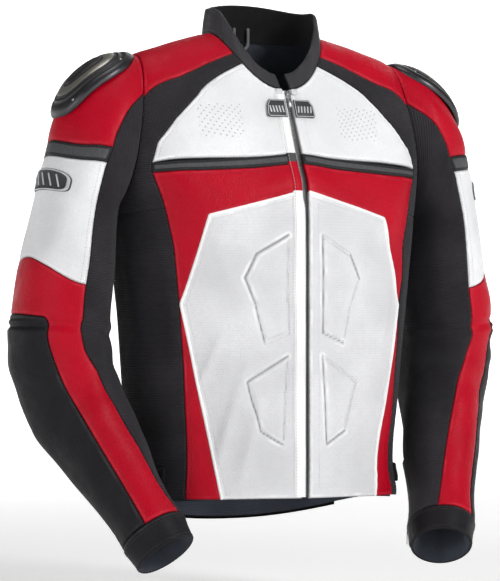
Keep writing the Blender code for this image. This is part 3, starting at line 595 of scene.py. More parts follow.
def sleeve_fold(phi, place, side):
    height = sample(SLEEVE_FOLDS[side], phi, place, SLEEVE_END, eased=True)
    bend = np.exp(-(((place - 7.9) / 1.5) ** 2))
    inside = 0.35 + 0.65 * np.clip(np.sin(np.radians(phi)), 0, 1)
    wave = np.sin(place * ELBOW_CREASES + 0.9 * np.sin(np.radians(phi * 2 + 60 * side)) + side)
    return height + ELBOW_CREASE_DEPTH * bend * inside * wave


BODY = Skin(torso, torso_normal, NECK_LEVEL, torso_fold)
ARM = Skin(sleeve, sleeve_normal, SLEEVE_END, sleeve_fold)


# ---------------------------------------------------------------- seams

SEAM_POINTS = 90


def straight(points, counts=None):
    """Dense line through the points, with its stretches in the proportion of counts."""
    points = [np.array(point, float) for point in points]
    counts = counts or [1] * (len(points) - 1)
    line = [points[0][None]]
    for start, end, count in zip(points[:-1], points[1:], counts):
        steps = np.linspace(0, 1, count * SEAM_POINTS + 1)[1:, None]
        line.append(start + (end - start) * steps)
    return np.concatenate(line)


def softened(line, reach):
    """The same line with its corners rounded over this many points; its ends stay."""
    if reach < 2:
        return line
    before = 2 * line[0] - line[reach:0:-1]
    after = 2 * line[-1] - line[-2 : -reach - 2 : -1]
    padded = np.concatenate([before, line, after])
    kernel = np.hanning(2 * reach + 3)[1:-1]
    kernel /= kernel.sum()
    smooth = [np.convolve(padded[:, k], kernel, "valid") for k in range(line.shape[1])]
    return np.stack(smooth, -1)


def front(points, counts=None, soft=0):
    """Seam of the front through points given as (distance from the centre line, height)."""
    line = softened(straight(points, counts), soft)
    return np.stack(body_at(line[:, 0], line[:, 1]), -1)


def joined(*lines):
    """Seams one after the other, each given with its share of the rows."""
    parts = []
    for line, count in lines:
        places = np.linspace(0, 1, count * SEAM_POINTS + 1)
        parts.append(along(line, places)[1 if parts else 0 :])
    return np.concatenate(parts)


def along(line, shares):
    return read_line(shares, np.linspace(0, 1, len(line)), line)


def side_seam():
    """Seam from the end of the chest stripe past the armpit down to the hem."""
    armpit = (body_at(*SIDE_SEAM_AT_ARMPIT)[0], ARMPIT_LEVEL)
    start = np.array(body_at(*STRIPE_BOTTOM[-1]))
    return straight([start, armpit]), straight([armpit] + [body_at(x, z) for x, z in SIDE_SEAM], [1, 2, 5])


def neck_to_armhole(back):
    """Seam between the shoulder panel and the panel below it, from the neck to the armhole."""
    line = [(SHOULDER_SEAM_ANGLE, NECK_LEVEL), (50.0, 7.9), (50.0, 7.2), (58.0, 6.4)]
    if back:
        line = [(180 - angle, level) for angle, level in line]
    line.append((float(armhole_angle(SHOULDER_END_LEVEL, back)), SHOULDER_END_LEVEL))
    return softened(straight(line), 40)


def armhole_edge(back, start, end):
    """Edge of the body panels along the armhole between two levels."""
    levels = np.linspace(start, end, 2 * SEAM_POINTS)
    edge = np.stack([armhole_angle(levels, back), levels], -1)
    reach = smoothstep(levels, ARMPIT_LEVEL + 0.45, ARMPIT_LEVEL)
    edge[:, 0] = edge[:, 0] * (1 - reach) + 90.0 * reach
    return edge


# ---------------------------------------------------------------- meshes

THREAD_PITCH = 0.0043
THREAD_LENGTH = 0.0031
THREAD_WIDTH = 0.00075
SKIRT_DEPTH = 0.0034
# Seam distance of the points of a piece without seams.
FAR_FROM_SEAMS = 0.02


class Mesh:
    """Points and faces gathered for one piece."""

    def __init__(self):
        self.points, self.faces, self.slots, self.uvs, self.seams = [], [], [], [], []
        self.count = 0

    def add_faces(self, faces, slot=0):
        """Adds faces between numbered points; slot is one for all of them or one for each."""
        self.faces += [list(face) for face in faces]
        self.slots += np.broadcast_to(slot, len(faces)).tolist()

    def add(self, points, faces, slot=0, uv=None, seam=None):
        """Adds points, and faces between them that count from the first of them."""
        points = np.asarray(points, float).reshape(-1, 3)
        self.add_faces([[int(k) + self.count for k in face] for face in faces], slot)
        self.points.append(points)
        self.uvs.append(points[:, [0, 2]] if uv is None else np.asarray(uv).reshape(-1, 2))
        self.seams.append(np.full(len(points), FAR_FROM_SEAMS) if seam is None else np.ravel(seam))
        self.count += len(points)

    def make(self, name, materials, side=1, smooth=True):
        points = np.concatenate(self.points)
        faces = self.faces
        if side < 0:
            points = points * [-1, 1, 1]
            faces = [face[::-1] for face in faces]
        data = bpy.data.meshes.new(name)
        data.from_pydata(points.tolist(), [], faces)
        for item in materials:
            data.materials.append(item)
        data.polygons.foreach_set("material_index", np.array(self.slots, np.int32))
        data.polygons.foreach_set("use_smooth", np.full(len(faces), smooth))
        uv = np.concatenate(self.uvs)
        layer = data.uv_layers.new(name="metres")
        corners = np.empty(len(data.loops), np.int32)
        data.loops.foreach_get("vertex_index", corners)
        layer.data.foreach_set("uv", uv[corners].astype(np.float32).ravel())
        rest = data.attributes.new("rest", "FLOAT_VECTOR", "POINT")
        rest.data.foreach_set("vector", points.astype(np.float32).ravel())
        seam = data.attributes.new("seam", "FLOAT", "POINT")
        seam.data.foreach_set("value", np.concatenate(self.seams).astype(np.float32))
        data.update()
        obj = bpy.data.objects.new(name, data)
        bpy.context.scene.collection.objects.link(obj)
        return obj


def label(nodes):
    """Hides the nodes whose place the piece takes."""
    if nodes:
        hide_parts(*nodes)


def put(obj, body, slot, *nodes):
    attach(obj, body)
    label(nodes)


def blended(obj, side, zone, places, slot, *nodes):
    """A piece of the sleeve at the shoulder or the elbow, with its transform baked into its points, in the
    place of these nodes.
    """
    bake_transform(obj)
    label(nodes)


def suffix(side):
    return "left" if side > 0 else "right"


# Distances from a seam of the first rows of a panel, and the width under which they draw together.
FIRST_ROWS = np.array([0.0, 0.0007, 0.0016, 0.0028, 0.0044])
NARROW = 0.022


def spread(length, step):
    """Shares of a stretch of this length, closer together near its two ends."""
    near = FIRST_ROWS * min(1.0, length / NARROW)
    count = max(2, round((length - 2 * near[-1]) / step) + 1)
    middle = np.linspace(near[-1], length - near[-1], count)
    places = np.concatenate([near[:-1], middle, (length - near[:-1])[::-1]])
    return places / length


def line_length(skin, line):
    return np.linalg.norm(np.diff(skin.surface(line[:, 0], line[:, 1]), axis=0), axis=-1).sum()


def ruled(skin, first, second, step):
    """Grid of surface places between two seams: row i runs from first to second."""
    length = max(line_length(skin, first), line_length(skin, second))
    rows = spread(length, step)
    middle = [np.stack([along(first, t), along(second, t)]) for t in (0.25, 0.5, 0.75, 0.02, 0.98)]
    width = max(line_length(skin, straight(pair)) for pair in middle)
    columns = spread(width, step)[None, :, None]
    return along(first, rows)[:, None] * (1 - columns) + along(second, rows)[:, None] * columns


def edges_of(grid):
    return {"first": grid[:, 0], "second": grid[:, -1], "start": grid[0], "end": grid[-1]}


BORDER_PITCH = 0.0012
# Keeps the puckers of two borders from meeting in step.
BORDER_SHIFT = 0.37


def seam_distance(points, borders):
    """Each point's distance from the nearest border line, and its place along that line."""
    lines, places = [], []
    for line in borders:
        total = lengths(line)
        dense = np.arange(0, total[-1], BORDER_PITCH)
        lines.append(read_line(dense, total, line))
        places.append(dense + BORDER_SHIFT * len(places))
    places = np.concatenate(places)
    tree = tree_of(np.concatenate(lines))
    found = [tree.find(point)[1:] for point in points.reshape(-1, 3)]
    index = np.array([item[0] for item in found])
    distance = np.array([item[1] for item in found])
    return distance.reshape(points.shape[:-1]), places[index].reshape(points.shape[:-1])


def border_numbers(rows, columns):
    """Numbers of the grid's points round its border, in order."""
    numbers = np.arange(rows * columns).reshape(rows, columns)
    return np.concatenate([numbers[0, :-1], numbers[:-1, -1], numbers[-1, :0:-1], numbers[:0:-1, 0]])


def stitch_line(grid, lift, edge, inset):
    """Points and normals of a line inside one edge of a panel's grid of points."""
    if edge in ("start", "end"):
        grid, lift = grid.transpose(1, 0, 2), lift.transpose(1, 0, 2)
    if edge in ("second", "end"):
        grid, lift = grid[:, ::-1], lift[:, ::-1]
    steps = np.linalg.norm(np.diff(grid, axis=1), axis=-1)
    total = np.concatenate([np.zeros((len(grid), 1)), np.cumsum(steps, 1)], 1)
    points, normals = [], []
    for row in range(len(grid)):
        if total[row, -1] > 2 * inset:
            points.append([np.interp(inset, total[row], grid[row, :, k]) for k in range(3)])
            normals.append([np.interp(inset, total[row], lift[row, :, k]) for k in range(3)])
    return np.array(points), unit(np.array(normals)) if normals else np.array(normals)


def add_stitches(mesh, line, normals, slot, keep=None):
    """Row of sewn stitches along a line of points."""
    if len(line) < 2:
        return
    total = lengths(line)
    if total[-1] < 2 * THREAD_PITCH:
        return
    middles = np.arange(THREAD_PITCH / 2, total[-1] - THREAD_PITCH / 2, THREAD_PITCH)
    centre = read_line(middles, total, line)
    out = unit(read_line(middles, total, normals))
    run = unit(read_line(middles + 0.001, total, line) - centre)
    across = np.cross(run, out)
    if keep is not None:
        chosen = keep(centre)
        centre, run, out, across = centre[chosen], run[chosen], out[chosen], across[chosen]
    half, width = THREAD_LENGTH / 2, THREAD_WIDTH / 2
    ring = [across * width, out * width * 0.9, -across * width, -out * width]
    corners = [centre - run * half - out * width * 0.5]
    corners += [centre - run * half * 0.6 + item for item in ring]
    corners += [centre + run * half * 0.6 + item for item in ring]
    corners += [centre + run * half - out * width * 0.5]
    points = np.stack(corners, 1)
    faces = [(0, k + 1, (k + 1) % 4 + 1) for k in range(4)]
    faces += [(k + 1, k + 5, (k + 1) % 4 + 5, (k + 1) % 4 + 1) for k in range(4)]
    faces += [(9, (k + 1) % 4 + 5, k + 5) for k in range(4)]
    every = [[k + 10 * i for k in face] for i in range(len(points)) for face in faces]
    mesh.add(points, every, slot)


STYLE = {
    "leather": {"puff": 0.0014, "reach": 0.0080, "roll": 0.0016, "pucker": 0.00035},
    "stretch": {"puff": 0.0006, "reach": 0.0060, "roll": 0.0013, "pucker": 0.00025},
    "strip": {"puff": 0.0012, "reach": 0.0030, "roll": 0.0010, "pucker": 0.00010},
}
ROLL_WIDTH = 0.0024
PUCKER_PITCH = 0.011
PUCKER_REACH = 0.006


def panel_surface(skin, grid, side, style, relief=None, lift=0.0, open_edge=None):
    """Points, normals and seam distances of a panel over a grid of places.

    relief takes the grid, its points on the skin and their seam distances, and gives a height.
    """
    base = skin.surface(grid[..., 0], grid[..., 1])
    normal = skin.normal(grid[..., 0], grid[..., 1])
    borders = [skin.surface(line[:, 0], line[:, 1]) for edge, line in edges_of(grid).items()
               if edge != open_edge]
    distance, place = seam_distance(base, borders)
    look = STYLE[style]
    height = skin.fold(grid, side) + lift
    height += look["puff"] * (1 - np.exp(-distance / look["reach"]))
    height -= look["roll"] * (1 - np.clip(distance / ROLL_WIDTH, 0, 1)) ** 2
    ripple = np.sin(place * 2 * np.pi / PUCKER_PITCH + 2.5 * np.sin(place * 41) + side)
    height += look["pucker"] * ripple * np.exp(-distance / PUCKER_REACH) * np.clip(distance / 0.001, 0, 1)
    if relief:
        height += relief(grid, base, distance)
    return base + normal * height[..., None], normal, distance


def add_panel(mesh, skin, grid, points, normal, distance, slot=0, skirt=SKIRT_DEPTH, dark=None):
    """Adds a panel's skin, with its edges turned in, and returns the places of its points."""
    rows, columns = grid.shape[:2]
    quads = grid_quads(rows, columns)
    a, b, c = points.reshape(-1, 3)[quads[len(quads) // 2][:3]]
    turned = np.cross(b - a, c - a) @ normal.reshape(-1, 3)[quads[len(quads) // 2][0]] < 0
    uv = skin.uv(grid).reshape(-1, 2)
    border = border_numbers(rows, columns)
    flat, out = points.reshape(-1, 3), normal.reshape(-1, 3)
    rings = [flat[border] - out[border] * skirt * 0.45, flat[border] - out[border] * skirt]
    count = len(border)
    faces = quads.tolist()
    total = rows * columns
    for depth in range(2):
        for k in range(count):
            n = (k + 1) % count
            near = (border[k], border[n]) if depth == 0 else (total + k, total + n)
            shift = total + depth * count
            faces.append([near[1], near[0], shift + k, shift + n])
    if turned:
        faces = [face[::-1] for face in faces]
    every = np.concatenate([flat, *rings])
    seam = distance.ravel() if dark is None else dark.ravel()
    # The turned-in edges get seam distance 0, so the material paints them with the seams' dark line, part dirt
    # and part painted shade.
    mesh.add(every, faces, slot, np.concatenate([uv, uv[border], uv[border]]),
             np.concatenate([seam, np.zeros(2 * count)]))
    places = grid[..., 1].ravel()
    return np.concatenate([places, places[border], places[border]])


def keep_clear(points, distances, inset):
    """Says which stitches lie at least about half their own inset from every edge."""
    tree = tree_of(points)

    def keep(centres):
        near = np.array([distances[tree.find(point)[1]] for point in centres])
        return near > inset * 0.55

    return keep


def panel(name, skin, grid, side, finish, style="leather", stitches=(), relief=None, lift=0.0,
          skirt=SKIRT_DEPTH, seam_value=None, extra=None, open_edge=None):
    """Whole panel: (object, places of its points). stitches holds (edge, inset) pairs.

    seam_value gives other seam distances for the material, and extra adds to the mesh.
    """
    points, normal, distance = panel_surface(skin, grid, side, style, relief, lift, open_edge)
    mesh = Mesh()
    dark = None if seam_value is None else seam_value(points, distance)
    places = [add_panel(mesh, skin, grid, points, normal, distance, 0, skirt, dark)]
    for edge, inset in stitches:
        line, normals = stitch_line(points, normal, edge, inset)
        before = mesh.count
        keep = keep_clear(points.reshape(-1, 3), distance.ravel(), inset)
        add_stitches(mesh, line, normals, 1, keep)
        added = np.concatenate(mesh.points)[before:]
        places.append(nearest_places(points, grid, added))
    if extra:
        before = mesh.count
        extra(mesh, points, normal)
        places.append(nearest_places(points, grid, np.concatenate(mesh.points)[before:]))
    return mesh.make(name, finish, side), np.concatenate(places)


def nearest_places(points, grid, added):
    """Place on the skin of the panel's point nearest to each added point."""
    if not len(added):
        return np.zeros(0)
    tree = tree_of(points.reshape(-1, 3))
    return grid[..., 1].ravel()[[tree.find(point)[1] for point in added]]


def add_tube(mesh, line, radius, slot=0, sides=8, closed=False):
    """Round tube along a line of points, with rounded ends unless it is closed."""
    line = np.asarray(line, float)
    count = len(line)
    if closed:
        run = unit(np.roll(line, -1, 0) - np.roll(line, 1, 0))
    else:
        run = unit(np.gradient(line, axis=0))
    helper = np.array([0.0, 0.0, 1.0])
    helper = np.where(np.abs(run @ helper)[:, None] > 0.9, np.array([1.0, 0, 0]), helper)
    across = unit(np.cross(run, helper))
    for i in range(1, count):
        across[i] = unit(across[i - 1] - (across[i - 1] @ run[i]) * run[i])
    other = np.cross(run, across)
    turns = np.arange(sides) * 2 * np.pi / sides
    rings = line[:, None] + radius * (
        across[:, None] * np.cos(turns)[None, :, None] + other[:, None] * np.sin(turns)[None, :, None]
    )
    faces = []
    last = count if closed else count - 1
    for i in range(last):
        j = (i + 1) % count
        for k in range(sides):
            n = (k + 1) % sides
            faces.append([i * sides + k, i * sides + n, j * sides + n, j * sides + k])
    points = rings.reshape(-1, 3)
    if not closed:
        tips = np.array([line[0] - run[0] * radius * 0.7, line[-1] + run[-1] * radius * 0.7])
        start, end = len(points), len(points) + 1
        points = np.concatenate([points, tips])
        for k in range(sides):
            n = (k + 1) % sides
            faces.append([start, n, k])
            faces.append([end, (count - 1) * sides + k, (count - 1) * sides + n])
    length = lengths(line)
    uv = table(turns * radius, length).reshape(-1, 2)
    if not closed:
        uv = np.concatenate([uv, [[0, 0], [0, length[-1]]]])
    mesh.add(points, faces, slot, uv)


def add_plate(mesh, centre, axes, outline, depth, bevel, slot=0, crown=0.0):
    """Flat plate with bevelled rims. outline is a closed line of (across, upward) points."""
    across, upward, outward = axes
    outline = np.asarray(outline, float)
    middle = outline.mean(0)
    size = np.linalg.norm(outline - middle, axis=1).mean()
    shrink = 1 - bevel / size
    rims = [(shrink, depth / 2 + crown * 0.3), (1.0, depth / 2 - bevel), (1.0, bevel - depth / 2),
            (shrink, -depth / 2)]
    points = []
    for scale, level in rims:
        flat = middle + (outline - middle) * scale
        points += [centre + across * x + upward * y + outward * level for x, y in flat]
    count = len(outline)
    faces = []
    for r in range(3):
        for k in range(count):
            n = (k + 1) % count
            faces.append([r * count + k, (r + 1) * count + k, (r + 1) * count + n, r * count + n])
    top = len(points)
    points.append(centre + across * middle[0] + upward * middle[1] + outward * (depth / 2 + crown))
    points.append(centre + across * middle[0] + upward * middle[1] - outward * depth / 2)
    for k in range(count):
        n = (k + 1) % count
        faces.append([top, k, n])
        faces.append([top + 1, 3 * count + n, 3 * count + k])
    points = np.array(points)
    a, b, c = points[faces[0][:3]]
    outside = np.cross(b - a, c - a) @ (a - points.mean(0))
    if outside < 0:
        faces = [face[::-1] for face in faces]
    mesh.add(points, faces, slot)


def rounded_box(width, height, corner, steps=4):
    """Outline of a rectangle with round corners, centred on the origin."""
    outline = []
    for quarter in range(4):
        sign_x = 1 if quarter in (0, 3) else -1
        sign_y = 1 if quarter in (0, 1) else -1
        for k in range(steps + 1):
            turn = math.pi / 2 * (quarter + k / steps)
            outline.append((sign_x * (width / 2 - corner) + corner * math.cos(turn),
                            sign_y * (height / 2 - corner) + corner * math.sin(turn)))
    return outline


# ---------------------------------------------------------------- materials


class Paint:
    """A node material, with short calls for the nodes that it uses."""

    def __init__(self, name, **sockets):
        self.material = bpy.data.materials.new(name)
        self.material.use_nodes = True
        self.nodes = self.material.node_tree.nodes
        self.links = self.material.node_tree.links
        self.shader = self.nodes["Principled BSDF"]
        for socket, value in sockets.items():
            self.shader.inputs[socket.replace("_", " ")].default_value = value

    def node(self, kind, output, **settings):
        made = self.nodes.new("ShaderNode" + kind)
        inputs = settings.pop("inputs", {})
        for key, value in settings.items():
            setattr(made, key, value)
        for key, value in inputs.items():
            if isinstance(value, bpy.types.NodeSocket):
                self.links.new(value, made.inputs[key])
            else:
                made.inputs[key].default_value = value
        return made.outputs[output]

    def rest(self):
        return self.node("Attribute", "Vector", attribute_name="rest")

    def seam(self):
        return self.node("Attribute", "Fac", attribute_name="seam")

    def metres(self):
        return self.node("UVMap", "UV", uv_map="metres")

    def noise(self, scale, detail=3.0, vector=None):
        vector = vector or self.rest()
        return self.node("TexNoise", "Fac", inputs={"Vector": vector, "Scale": scale, "Detail": detail})

    def cells(self, scale, vector=None, feature="F1"):
        inputs = {"Vector": vector or self.rest(), "Scale": scale}
        return self.node("TexVoronoi", "Distance", feature=feature, inputs=inputs)

    def sum(self, operation, first, second=0.0, third=0.0):
        inputs = {0: first, 1: second, 2: third}
        return self.node("Math", 0, operation=operation, inputs=inputs)

    def map(self, value, low, high, start=0.0, end=1.0, smooth=True):
        kind = "SMOOTHSTEP" if smooth else "LINEAR"
        inputs = {0: value, 1: low, 2: high, 3: start, 4: end}
        return self.node("MapRange", 0, interpolation_type=kind, inputs=inputs)

    def mix(self, share, first, second):
        first = (*first, 1.0) if isinstance(first, tuple) else first
        second = (*second, 1.0) if isinstance(second, tuple) else second
        inputs = {0: share, 6: first, 7: second}
        return self.node("Mix", 2, data_type="RGBA", inputs=inputs)

    def colour(self, value):
        self.links.new(value, self.shader.inputs["Base Color"])

    def roughness(self, value):
        self.links.new(value, self.shader.inputs["Roughness"])

    def bump(self, height, depth):
        inputs = {"Height": height, "Distance": depth, "Strength": 1.0}
        self.links.new(self.node("Bump", 0, inputs=inputs), self.shader.inputs["Normal"])

    def dots(self, pitch, radius):
        """1 inside the holes of a staggered pattern of that pitch, in metres."""
        parts = []
        apart = self.node("SeparateXYZ", 0, inputs={0: self.metres()}).node
        for shift in (0.0, 0.5):
            squares = []
            for axis, spacing in ((0, pitch), (1, pitch * 3**0.5)):
                cell = self.sum("MULTIPLY_ADD", apart.outputs[axis], 1 / spacing, shift)
                offset = self.sum("SUBTRACT", self.sum("FRACT", cell), 0.5)
                reach = self.sum("MULTIPLY", offset, spacing)
                squares.append(self.sum("MULTIPLY", reach, reach))
            parts.append(self.sum("SQRT", self.sum("ADD", *squares)))
        nearest = self.sum("MINIMUM", *parts)
        return self.map(nearest, radius * 0.7, radius * 1.2, 1.0, 0.0)

    def ribs(self, axis, pitch):
        """Rounded ribs, 0 to 1, across one axis of the metres map."""
        apart = self.node("SeparateXYZ", axis, inputs={0: self.metres()})
        wave = self.sum("SINE", self.sum("MULTIPLY", apart, 2 * math.pi / pitch))
        return self.sum("MULTIPLY_ADD", wave, 0.5, 0.5)


def scaled(colour, factor):
    return tuple(min(1.0, channel * factor) for channel in colour)


def leather(name, colour, roughness, worn, holes=None, grain=620.0, coat=0.03, region=None,
            shine_level=0.16):
    """Grained leather, darkened in its seams by dirt and painted shade, and a little worn beside them."""
    paint = Paint(name, Coat_Weight=coat, Coat_Roughness=0.35, Specular_IOR_Level=shine_level)
    distance = paint.seam()
    patches = paint.map(paint.noise(9.0, 4.0), 0.35, 0.68)
    speckle = paint.map(paint.noise(240.0, 2.0), 0.3, 0.7)
    tone = paint.mix(patches, scaled(colour, 0.90), scaled(colour, 1.06))
    tone = paint.mix(paint.sum("MULTIPLY", speckle, 0.25), tone, scaled(colour, 0.84))
    near, beyond = paint.map(distance, 0.0012, 0.0030), paint.map(distance, 0.0030, 0.0065, 1.0, 0.0)
    wear = paint.sum("MULTIPLY", near, beyond)
    wear = paint.sum("MULTIPLY", wear, paint.map(paint.noise(30.0, 3.0), 0.42, 0.66, 0.1, 0.75))
    tone = paint.mix(wear, tone, worn)
    # Dark line in the seams: part dirt, part painted shade.
    tone = paint.mix(paint.map(distance, 0.0003, 0.0016, 0.72, 0.0), tone, scaled(colour, 0.25))
    pores = paint.cells(grain)
    creases = paint.cells(grain * 0.42, feature="DISTANCE_TO_EDGE")
    height = paint.sum("ADD", paint.sum("MULTIPLY", pores, -0.55), paint.map(creases, 0.0, 0.25, 0.0, 0.8))
    height = paint.sum("MULTIPLY_ADD", paint.noise(70.0, 3.0), 2.2, height)
    height = paint.sum("MULTIPLY_ADD", paint.noise(24.0, 2.0), 5.0, height)
    if holes:
        pitch, radius, border, depth = holes
        hole = paint.sum("MULTIPLY", paint.dots(pitch, radius), paint.map(distance, border, border + 0.0015))
        if region:
            apart = paint.node("SeparateXYZ", 0, inputs={0: paint.rest()}).node
            for value, low, high in ((paint.sum("ABSOLUTE", apart.outputs[0]), *region[0]),
                                     (apart.outputs[2], *region[1])):
                hole = paint.sum("MULTIPLY", hole, paint.map(value, low, low + 0.0005))
                hole = paint.sum("MULTIPLY", hole, paint.map(value, high, high + 0.0005, 1.0, 0.0))
        # The holes are painted dark, as painted shade inside them.
        tone = paint.mix(paint.sum("MULTIPLY", hole, depth), tone, scaled(colour, 0.10))
        height = paint.sum("MULTIPLY_ADD", hole, -3.0, height)
    paint.colour(tone)
    shine = paint.map(paint.noise(55.0, 3.0), 0.3, 0.7, roughness - 0.05, roughness + 0.09)
    paint.roughness(paint.sum("MULTIPLY_ADD", pores, 0.06, shine))
    paint.bump(height, 0.00022)
    return paint.material


def banded(name, colour, middle):
    """Black strip with a lighter panel down its middle, by the distance from its edges."""
    paint = Paint(name, Coat_Weight=0.02, Coat_Roughness=0.4, Specular_IOR_Level=0.14)
    distance = paint.seam()
    centre = paint.map(distance, 0.0036, 0.0044)
    speckle = paint.map(paint.noise(260.0, 2.0), 0.3, 0.7)
    tone = paint.mix(centre, colour, middle)
    tone = paint.mix(paint.sum("MULTIPLY", speckle, 0.3), tone, scaled(colour, 1.5))
    paint.colour(tone)
    paint.roughness(paint.map(paint.noise(60.0), 0.3, 0.7, 0.42, 0.58))
    height = paint.sum("MULTIPLY_ADD", paint.cells(620.0), -0.6, paint.sum("MULTIPLY", centre, -1.5))
    paint.bump(height, 0.00025)
    return paint.material


def stretch_fabric(name, colour, ribs=0.0031):
    """Ribbed elastic weave."""
    paint = Paint(name, Sheen_Weight=0.08, Sheen_Roughness=0.5, Specular_IOR_Level=0.12)
    rib = paint.ribs(1, ribs)
    warp = paint.ribs(0, 0.0011)
    distance = paint.seam()
    faded = paint.map(paint.noise(12.0, 4.0), 0.35, 0.7)
    tone = paint.mix(faded, scaled(colour, 0.80), scaled(colour, 1.35))
    # The grooves between the ribs are painted darker, as painted shade.
    tone = paint.mix(paint.map(rib, 0.05, 0.6, 0.55, 0.0), tone, scaled(colour, 0.35))
    # Dark line in the seams: part dirt, part painted shade.
    tone = paint.mix(paint.map(distance, 0.0003, 0.0018, 0.6, 0.0), tone, scaled(colour, 0.3))
    paint.colour(tone)
    paint.roughness(paint.map(paint.noise(90.0), 0.3, 0.7, 0.72, 0.92))
    height = paint.sum("MULTIPLY_ADD", warp, 0.3, rib)
    height = paint.sum("MULTIPLY_ADD", paint.noise(900.0, 2.0), 0.4, height)
    height = paint.sum("MULTIPLY_ADD", paint.noise(22.0, 2.0), 3.5, height)
    paint.bump(height, 0.00045)
    return paint.material


def knitted(name, colour, pitch=0.0022):
    """Open knit of the lining."""
    paint = Paint(name, Sheen_Weight=0.06, Sheen_Roughness=0.6, Specular_IOR_Level=0.12)
    hole = paint.dots(pitch, pitch * 0.28)
    faded = paint.map(paint.noise(18.0, 3.0), 0.35, 0.7)
    tone = paint.mix(faded, scaled(colour, 0.8), scaled(colour, 1.2))
    # The holes of the knit are painted dark, as painted shade inside them.
    paint.colour(paint.mix(paint.sum("MULTIPLY", hole, 0.8), tone, scaled(colour, 0.25)))
    paint.roughness(paint.map(paint.noise(80.0), 0.3, 0.7, 0.75, 0.9))
    paint.bump(paint.sum("MULTIPLY_ADD", hole, -1.0, paint.noise(700.0, 2.0)), 0.0004)
    return paint.material


def brushed_metal(name, colour, roughness, scratch=180.0):
    """Metal with fine brushing and a few worn spots."""
    paint = Paint(name, Metallic=1.0)
    stretched = paint.node("Mapping", 0, inputs={0: paint.metres(), 3: (1.0, 14.0, 1.0)})
    lines = paint.noise(scratch, 4.0, stretched)
    spots = paint.map(paint.noise(35.0, 4.0), 0.45, 0.7)
    tone = paint.mix(lines, scaled(colour, 0.78), scaled(colour, 1.15))
    paint.colour(paint.mix(paint.sum("MULTIPLY", spots, 0.35), tone, scaled(colour, 0.62)))
    paint.roughness(paint.map(lines, 0.2, 0.8, roughness - 0.07, roughness + 0.12))
    paint.bump(lines, 0.00006)
    return paint.material


def plain_metal(name, colour, roughness):
    """Cast and plated metal of the zips."""
    paint = Paint(name, Metallic=1.0)
    spots = paint.map(paint.noise(260.0, 3.0), 0.35, 0.7)
    paint.colour(paint.mix(spots, scaled(colour, 0.75), scaled(colour, 1.2)))
    paint.roughness(paint.map(paint.noise(180.0), 0.3, 0.7, roughness - 0.06, roughness + 0.12))
    paint.bump(paint.noise(900.0, 2.0), 0.00004)
    return paint.material


def woven(name, colour, pitch=0.0009):
    """Tightly woven tape, cord or thread."""
    paint = Paint(name, Sheen_Weight=0.15, Specular_IOR_Level=0.3)
    warp, weft = paint.ribs(0, pitch), paint.ribs(1, pitch)
    height = paint.sum("MULTIPLY", warp, weft)
    # Painted shade between the threads and painted highlight where they cross.
    tone = paint.mix(height, scaled(colour, 0.65), scaled(colour, 1.2))
    tone = paint.mix(paint.map(paint.noise(60.0), 0.35, 0.7, 0.0, 0.3), tone, scaled(colour, 0.6))
    paint.colour(tone)
    paint.roughness(paint.map(paint.noise(200.0), 0.3, 0.7, 0.7, 0.9))
    paint.bump(height, 0.0003)
    return paint.material


def moulded(name, colour, roughness, grain=1100.0):
    """Moulded rubber or plastic with a fine texture."""
    paint = Paint(name, Specular_IOR_Level=0.45)
    speckle = paint.noise(grain, 2.0)
    tone = paint.mix(paint.map(paint.noise(40.0, 3.0), 0.3, 0.7), scaled(colour, 0.85), scaled(colour, 1.2))
    paint.colour(paint.mix(paint.sum("MULTIPLY", speckle, 0.3), tone, scaled(colour, 1.4)))
    paint.roughness(paint.map(speckle, 0.3, 0.7, roughness - 0.06, roughness + 0.08))
    paint.bump(speckle, 0.00012)
    return paint.material


def foam(name, colour):
    """Open foam of the armour pads, which are CAD nodes and so have no rest attribute."""
    paint = Paint(name)
    place = paint.node("TexCoord", "Object")
    cells = paint.cells(420.0, place)
    # Painted shade in the pores of the foam, painted highlight on the walls between them.
    tone = paint.mix(paint.map(cells, 0.1, 0.7), scaled(colour, 0.5), scaled(colour, 1.3))
    paint.colour(tone)
    paint.roughness(paint.map(paint.noise(120.0, 3.0, place), 0.3, 0.7, 0.8, 0.95))
    paint.bump(cells, 0.0006)
    return paint.material


RED = (0.435, 0.0006, 0.014)
WHITE = (0.750, 0.754, 0.765)
BLACK = (0.012, 0.011, 0.013)
CLOTH_BLACK = (0.024, 0.022, 0.026)
CHARCOAL = (0.040, 0.038, 0.042)

